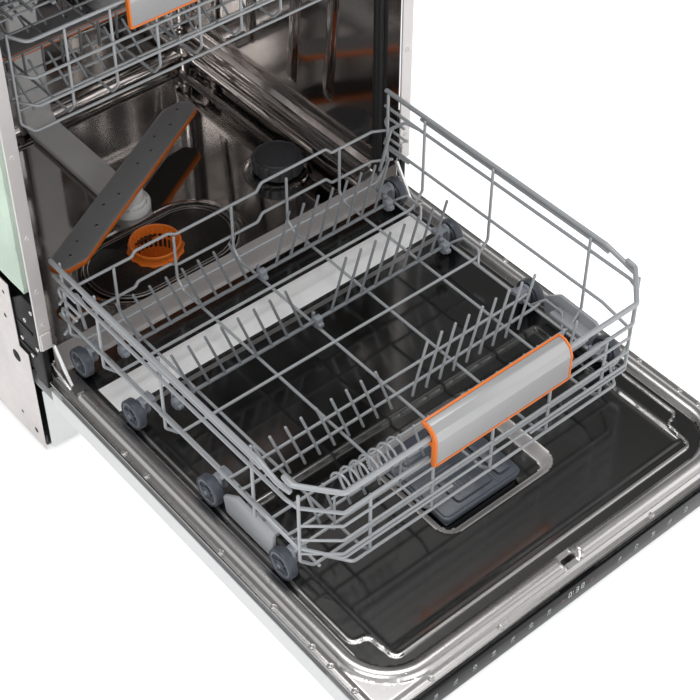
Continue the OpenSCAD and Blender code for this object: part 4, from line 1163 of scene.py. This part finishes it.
def lower_wires():
    wires = Shape()
    for y in HOOP_YS:
        top = 346 if y > -440 else 338
        wires.wire([(-POST_X, y, top), (-POST_X, y, 228), (-238, y, 206), (238, y, 206), (POST_X, y, 228),
                    (POST_X, y, top)], WIRE_R, 9)
    for x, top in ((-90, 306), (90, 306), (-180, 306), (180, 306), (0, 284)):
        wires.wire([(x, REAR_Y - 2, 286), (x, REAR_Y - 2, 214), (x, REAR_Y - 16, 202), (x, FRONT_Y + 14, 202),
                    (x, FRONT_Y + 2, 212), (x, FRONT_Y + 2, top)], WIRE_R, 9)
    wires.wires([(232, 2, 202), (232, -456, 202)], WIRE_R, 6)
    wires.wires([(238, -8, 230), (250, -16, 301), (257.6, -36, 319), (261, -60, 320), (261, -436, 321),
                 (257, -452, 318), (219, FRONT_Y - 1, 307), (100, FRONT_Y - 1, 307)], 2.3, 8)
    wires.wires([(261, REAR_Y, 320), (261, -60, 320)], 2.3, 8)
    wires.wires([(260.6, REAR_Y, 257), (260.6, -400, 257), (258, -450, 250), (219, FRONT_Y, 230),
                 (60, FRONT_Y, 230)], 2.1, 8)
    wires.wires([(259, -34, 306), (259, 2, 306), (259, 6, 296), (259, 2, 288), (259, -40, 288)], 1.9)
    wires.wires([(259, -30, 272), (259, 2, 272), (259, 6, 262), (259, -4, 254), (259, -44, 254)], 1.9)
    for z in (284, 260, 237):
        wires.wires([(POST_X, -452, z + 4), (219, FRONT_Y, z), (0, FRONT_Y, z)], 1.7, 7)
    wires.wires([(225, -452, 212), (205, FRONT_Y, 212), (0, FRONT_Y, 212)], WIRE_R, 8)
    for y in (-36, -149, -302):
        wires.wires([(232, y - 8, 203), (243, y - 22, 216), (243, y - 52, 216), (232, y - 64, 203)], 1.7, 5)
    rear = REAR_Y + 2
    for z in (284, 233):
        step, high = z + 7, z + 11
        wires.wire([(-266, -4, z + 1), (-240, rear, z), (-150, rear, z), (-146, rear, step),
                    (-96, rear, step), (-84, rear, z), (44, rear, z), (52, rear, high), (160, rear, high),
                    (170, rear, z), (240, rear, z), (266, -4, z + 1)], WIRE_R, 6)
    for y in (-297, -320, -404, -424):
        wires.wire([(-238, y, 210), (-226, y, 208), (226, y, 208), (238, y, 210)], WIRE_R, 6)
    for y, base, top, lean in ((-327, 196, 275, 25), (-409, 200, 262, 16)):
        for k in range(1, 10):
            x = k * 22.2 - 6
            wires.wires([(x, y, base), (x + 4, y + 1, base + 14), (x + lean, y + 3, top)], 1.8, 5, 8)
    spiral = [(-186 + 86 * t / (13 * math.pi), -432 + 13 * math.cos(t), 282 + 15 * math.sin(t))
              for t in np.arange(0, 13 * math.pi, math.pi / 8)]
    wires.wire(spiral, 1.5, 0.1, 8)
    wires.wire([(-196, -432, 266), (-92, -432, 266)], 1.5, 4, 8)
    for x in (-192, -96):
        wires.wire([(x, -432, 266), (x, -432, 212), (x, -424, 206)], 1.5, 4, 8)
    wires.done("lower_basket_grid", "lower_basket", "coated_wire", WIRE, "lower_basket_wires")

    rim = Shape()
    rim.wires([(BASKET_X, REAR_Y, RIM_Z), (BASKET_X, -392, RIM_Z), (BASKET_X, -424, 338), (259, -444, 337)],
              3.3, 12, 14)
    rim.wires([(BASKET_X, -60, RIM_Z - 7.4), (BASKET_X, -380, RIM_Z - 7.4), (BASKET_X, -398, 336)],
              2.2, 12, 12)
    rim.wire([(-257.5, -428, 349), (-257.5, -443, 347), (-219, FRONT_Y - 2, 340), (219, FRONT_Y - 2, 340),
              (257.5, -443, 347), (257.5, -428, 349)], 3.3, 9, 14)
    rim.done("lower_basket_rail", "lower_basket", "coated_wire", WIRE, "lower_basket_rim")

    grip = Shape()
    face = outline([(-493.4, 305), (-493.4, 341), (-489.6, 350.5), (-481, 356.8), (-472, 357), (-472, 354.6),
                    (-480, 354), (-486.2, 348.5), (-489, 341), (-489, 305)], 5, 5)
    grip.prism(face, "x", -100, 100, 0.8)
    grip.done("lower_grip", "lower_basket", "handle_plastic", HANDLE, "lower_handle")
    edge = Shape()
    band = outline([(-494, 302), (-494, 341), (-489.8, 351.5), (-481, 358), (-468.6, 358.2), (-468.6, 352),
                    (-479, 351), (-485.6, 345), (-487.4, 337), (-480, 337), (-480, 331), (-486.4, 331),
                    (-486.4, 302)], 2.5, 4)
    for x in (-103, 100.1):
        edge.prism(band, "x", x, x + 2.9, 0.9)
    edge.block((-100.5, -494, 302.6), (100.5, -488.6, 305.2), 1.0)
    edge.block((-100.5, -472, 353.8), (100.5, -468.8, 357.8), 1.2)
    edge.done("lower_grip_edge", "lower_basket", "orange_plastic", ORANGE, "lower_handle_trim")


WHEEL_YS = (-20, -133, -286, -421)
WHEEL_Z = 193.0
TINE_ROWS = (("rear_tines", "rear_tine_row", -52), ("front_tines", "front_tine_row", -165))
TINE_Z = 214


def running_gear():
    for k, y in enumerate(WHEEL_YS, 1):
        wheel = Shape()
        wheel.turned([(3.05, 250.3), (12, 250.3), (13, 252), (16.5, 252), (17.5, 250.4), (19.2, 250.4),
                      (20, 251.6), (20, 260.6), (19, 262), (17.4, 262), (16.6, 259.4), (3.05, 259.4)],
                     (0, y, WHEEL_Z), "x", 48)
        wheel.turned([(3.05, 259), (7.4, 259), (7.4, 262), (5.8, 262.6), (3.3, 262.6)],
                     (0, y, WHEEL_Z), "x", 28)
        wheel.paint = 1
        wheel.turned([(16.9, 259.0), (16.9, 261.2), (14.9, 261.6), (14.6, 259.0)], (0, y, WHEEL_Z), "x", 40)
        wheel.paint = 0
        for spoke in range(5):
            t = 2 * math.pi * spoke / 5
            dy, dz = math.cos(t), math.sin(t)
            wheel.wire([(259.8, y + 6 * dy, WHEEL_Z + 6 * dz), (259.8, y + 15.4 * dy, WHEEL_Z + 15.4 * dz)],
                       1.5, 1, 6)
        wheel.mirrored()
        wheel.done(f"basket_wheels_{k}", f"wheels_{k}", "wheel_plastic",
                   [WHEEL, WHEEL_LIGHT], f"wheel_pair_{k}")

    frames = Shape()
    for y in WHEEL_YS:
        side = outline([(y - 9, 185), (y + 9, 185), (y + 9, 204), (y + 4, 211),
                        (y - 4, 211), (y - 9, 204)], 4, 4)
        frames.prism(side, "x", 244.2, 248.8, 1.0)
        frames.block((228, y - 7, 204.3), (246, y + 7, 208.6), 1.6)
        frames.block((229, y - 9, 199.6), (235, y - 6.4, 209.4), 1.0)
        frames.block((229, y + 6.4, 199.6), (235, y + 9, 209.4), 1.0)
        frames.turned([(6.4, 236), (6.4, 245), (8, 249.6), (4, 249.8), (3, 250), (3, 263.2), (1.5, 263.5)],
                      (0, y, WHEEL_Z), "x", 28)
        for k in range(3):
            frames.block((238 + 2.6 * k, y - 6.8, 188), (239.2 + 2.6 * k, y + 6.8, 203), 0.5)
    frames.mirrored()
    frames.paint = 1
    guard = outline([(-312, 208), (-316, 182), (-398, 182), (-404, 196), (-404, 226), (-338, 228)], 6, 4)
    for x in (-257, 252):
        frames.prism(guard, "x", x, x + 5, 1.2)
    frames.pair((234, -396, 205), (253, -340, 211), 1.5)
    frames.done("wheel_brackets", "lower_basket", "wheel_plastic", [WHEEL_LIGHT, SHELF], "wheel_carriers")

    clips = Shape()
    for _, _, y in TINE_ROWS:
        for x in (-215, 0, 215):
            side = outline([(y - 6, 204.2), (y + 6, 204.2), (y + 6, 215), (y + 2, 220), (y - 6, 220)], 2.5, 4)
            clips.prism(side, "x", x - 5, x + 5, 0.9)
            clips.turned([(4.2, x - 5.6), (4.2, x + 5.6)], (0, y, TINE_Z), "x", 20)
            clips.block((x - 4, y - 10, 207), (x + 4, y - 5, 213), 1.2)
            clips.block((x - 2, y + 5, 209), (x + 2, y + 9, 222), 0.8)
    clips.done("tine_bearings", "lower_basket", "wheel_plastic", WHEEL_LIGHT, "tine_clips")

    for node, body, y in TINE_ROWS:
        row = Shape()
        row.wire([(-222, y, TINE_Z), (222, y, TINE_Z)], 2.5, 1, 14)
        for k in range(1, 9):
            x = k * 24
            row.wires([(x - 2, y - 0.4, TINE_Z - 3), (x, y, TINE_Z + 3), (x + 24, y, 292)], 1.8, 8)
        row.done(f"{node}_bent", body, "tine_coating", TINE, node)


lower_wires()
running_gear()


# ---------------------------------------------------------------- upper basket

UP_FRONT, UP_REAR, UP_RIM, UP_FLOOR = 46, 488, 621, 490
ROLLER_YS = (120, 470)


def upper_basket():
    wires = Shape()
    for y in (60, 130, 200, 344, 410, 470):
        wires.wire([(-244, y, UP_RIM + 9), (-244, y, 508), (-228, y, UP_FLOOR), (228, y, UP_FLOOR),
                    (244, y, 508), (244, y, UP_RIM + 9)], 1.8, 9)
    for x in (-180, -120, -60, 0, 60, 120, 180):
        wires.wire([(x, UP_FRONT + 1, UP_RIM - 2), (x, UP_FRONT + 1, 512), (x, UP_FRONT + 16, UP_FLOOR + 3.6),
                    (x, UP_REAR - 18, UP_FLOOR + 3.6), (x, UP_REAR - 3, 512),
                    (x, UP_REAR - 3, UP_RIM - 2)], 1.8, 9)
    front, high = UP_FRONT - 1.6, UP_RIM + 8
    wires.wire([(-100, front, UP_RIM), (-228, front, UP_RIM), (-248, UP_FRONT + 20, high),
                (-248, UP_REAR - 14, high), (-232, UP_REAR, UP_RIM), (232, UP_REAR, UP_RIM),
                (248, UP_REAR - 14, high), (248, UP_FRONT + 20, high), (228, front, UP_RIM),
                (100, front, UP_RIM)], 2.3, 14, 12)
    wires.wire([(-100, front, UP_RIM), (100, front, UP_RIM)], 2.3, 4, 12)
    for z in (572, 534):
        wires.wire([(-247.6, UP_FRONT + 90, z + 4), (-247.6, UP_FRONT + 20, z + 4), (-226, front, z),
                    (226, front, z), (247.6, UP_FRONT + 20, z + 4), (247.6, UP_FRONT + 90, z + 4)], 1.8, 10)
    for z in (550, 525):
        wires.wire([(-240, UP_REAR, z), (240, UP_REAR, z)], 1.8, 4)
        wires.wires([(247.8, UP_FRONT + 80, z), (247.8, UP_REAR - 2, z)], 1.8, 4)
    for y, lean in ((100, 8), (160, -8), (240, 8), (300, -8), (370, 8), (440, -8)):
        wires.paint = 0
        wires.wire([(-226, y, UP_FLOOR + 4), (226, y, UP_FLOOR + 4)], 1.7, 4)
        wires.paint = 1
        for k in range(-8, 9):
            x = k * 26 + 4
            wires.wire([(x, y, UP_FLOOR - 4), (x - 12, y + 3 * lean, UP_FLOOR + 48)], 1.7, 2, 8)
    wires.paint = 0
    for y in ROLLER_YS:
        wires.pair((246.2, y - 10, 541), (252, y + 10, 580), 1.5)
        for s in (-1, 1):
            wires.turned([(3, s * 251), (3, s * 271), (1.4, s * 271.5)], (0, y, ROLLER_Z), "x", 20)
    wires.done("upper_basket_grid", "upper_basket", "coated_wire", [WIRE, TINE], "upper_basket_wires")

    grip = Shape()
    face = outline([(38.2, 586), (38.2, 618), (40, 624.6), (41.9, 624.6), (41.9, 586)], 1.4, 3)
    grip.prism(face, "x", -98, 98, 0.8)
    grip.paint = 1
    for x in (-100, 97.4):
        grip.block((x, 37.9, 583.9), (x + 2.6, 45, 625), 0.8)
    grip.block((-99, 37.8, 583.8), (99, 42, 586.4), 0.8)
    grip.block((-99, 41.4, 620), (99, 45.4, 625.2), 1.0)
    grip.done("upper_grip", "upper_basket", "handle_plastic", [HANDLE, ORANGE], "upper_handle")

    shelf = Shape()
    shelf.wire([(-239, 110, 604), (-239, 430, 604)], 2.4, 2, 12)
    for y in range(120, 421, 12):
        shelf.block((-236.6, y - 1.2, 602.6), (-150, y + 1.2, 605.4), 0.8)
    for x in (-232, -206, -180, -153):
        shelf.block((x - 1.6, 112, 602.8), (x + 1.6, 428, 606.6), 0.9)
    shelf.wire([(-151, 112, 605), (-147.6, 130, 607), (-147.6, 410, 607), (-151, 428, 605)], 1.6, 5, 10)
    for y in (130, 200, 340, 410):
        shelf.turned([(4.2, y - 6), (4.2, y + 6)], (-239, 0, 604), "y", 18)
    shelf.done("cup_rack", "shelf", "shelf_plastic", SHELF, "cup_shelf")

    feed = Shape()
    feed.prism(plate(-18, 466, 18, 487.8, 6), "y", 288, 496, 1.5)
    feed.turned([(1, 448), (5.4, 448), (6, 449), (6, 465), (22, 465.4), (23.8, 467.6), (23.8, 484), (21, 487),
                 (1, 487)], (0, ARM_Y, 0), "z", 40)
    for y in (330, 380, 430, 480):
        feed.block((-19, y, 465.6), (19, y + 3, 488), 0.9)
    feed.done("arm_feed_tube", "upper_basket", "arm_plastic", ARM, "upper_arm_feed")

    for tag, y in zip(("front", "rear"), ROLLER_YS):
        roller = Shape()
        roller.turned([(3.05, 262.6), (9, 262.6), (10, 263.6), (11.2, 262.7), (12, 263.6), (12, 269.4),
                       (11.2, 270.3), (9.4, 270.3), (9, 269), (5, 269), (4.6, 270.3), (3.05, 270.3)],
                      (0, y, ROLLER_Z), "x", 36)
        roller.mirrored()
        roller.done(f"channel_rollers_{tag}", f"rollers_{tag}", "wheel_plastic", WHEEL,
                    f"upper_rollers_{tag}")


upper_basket()
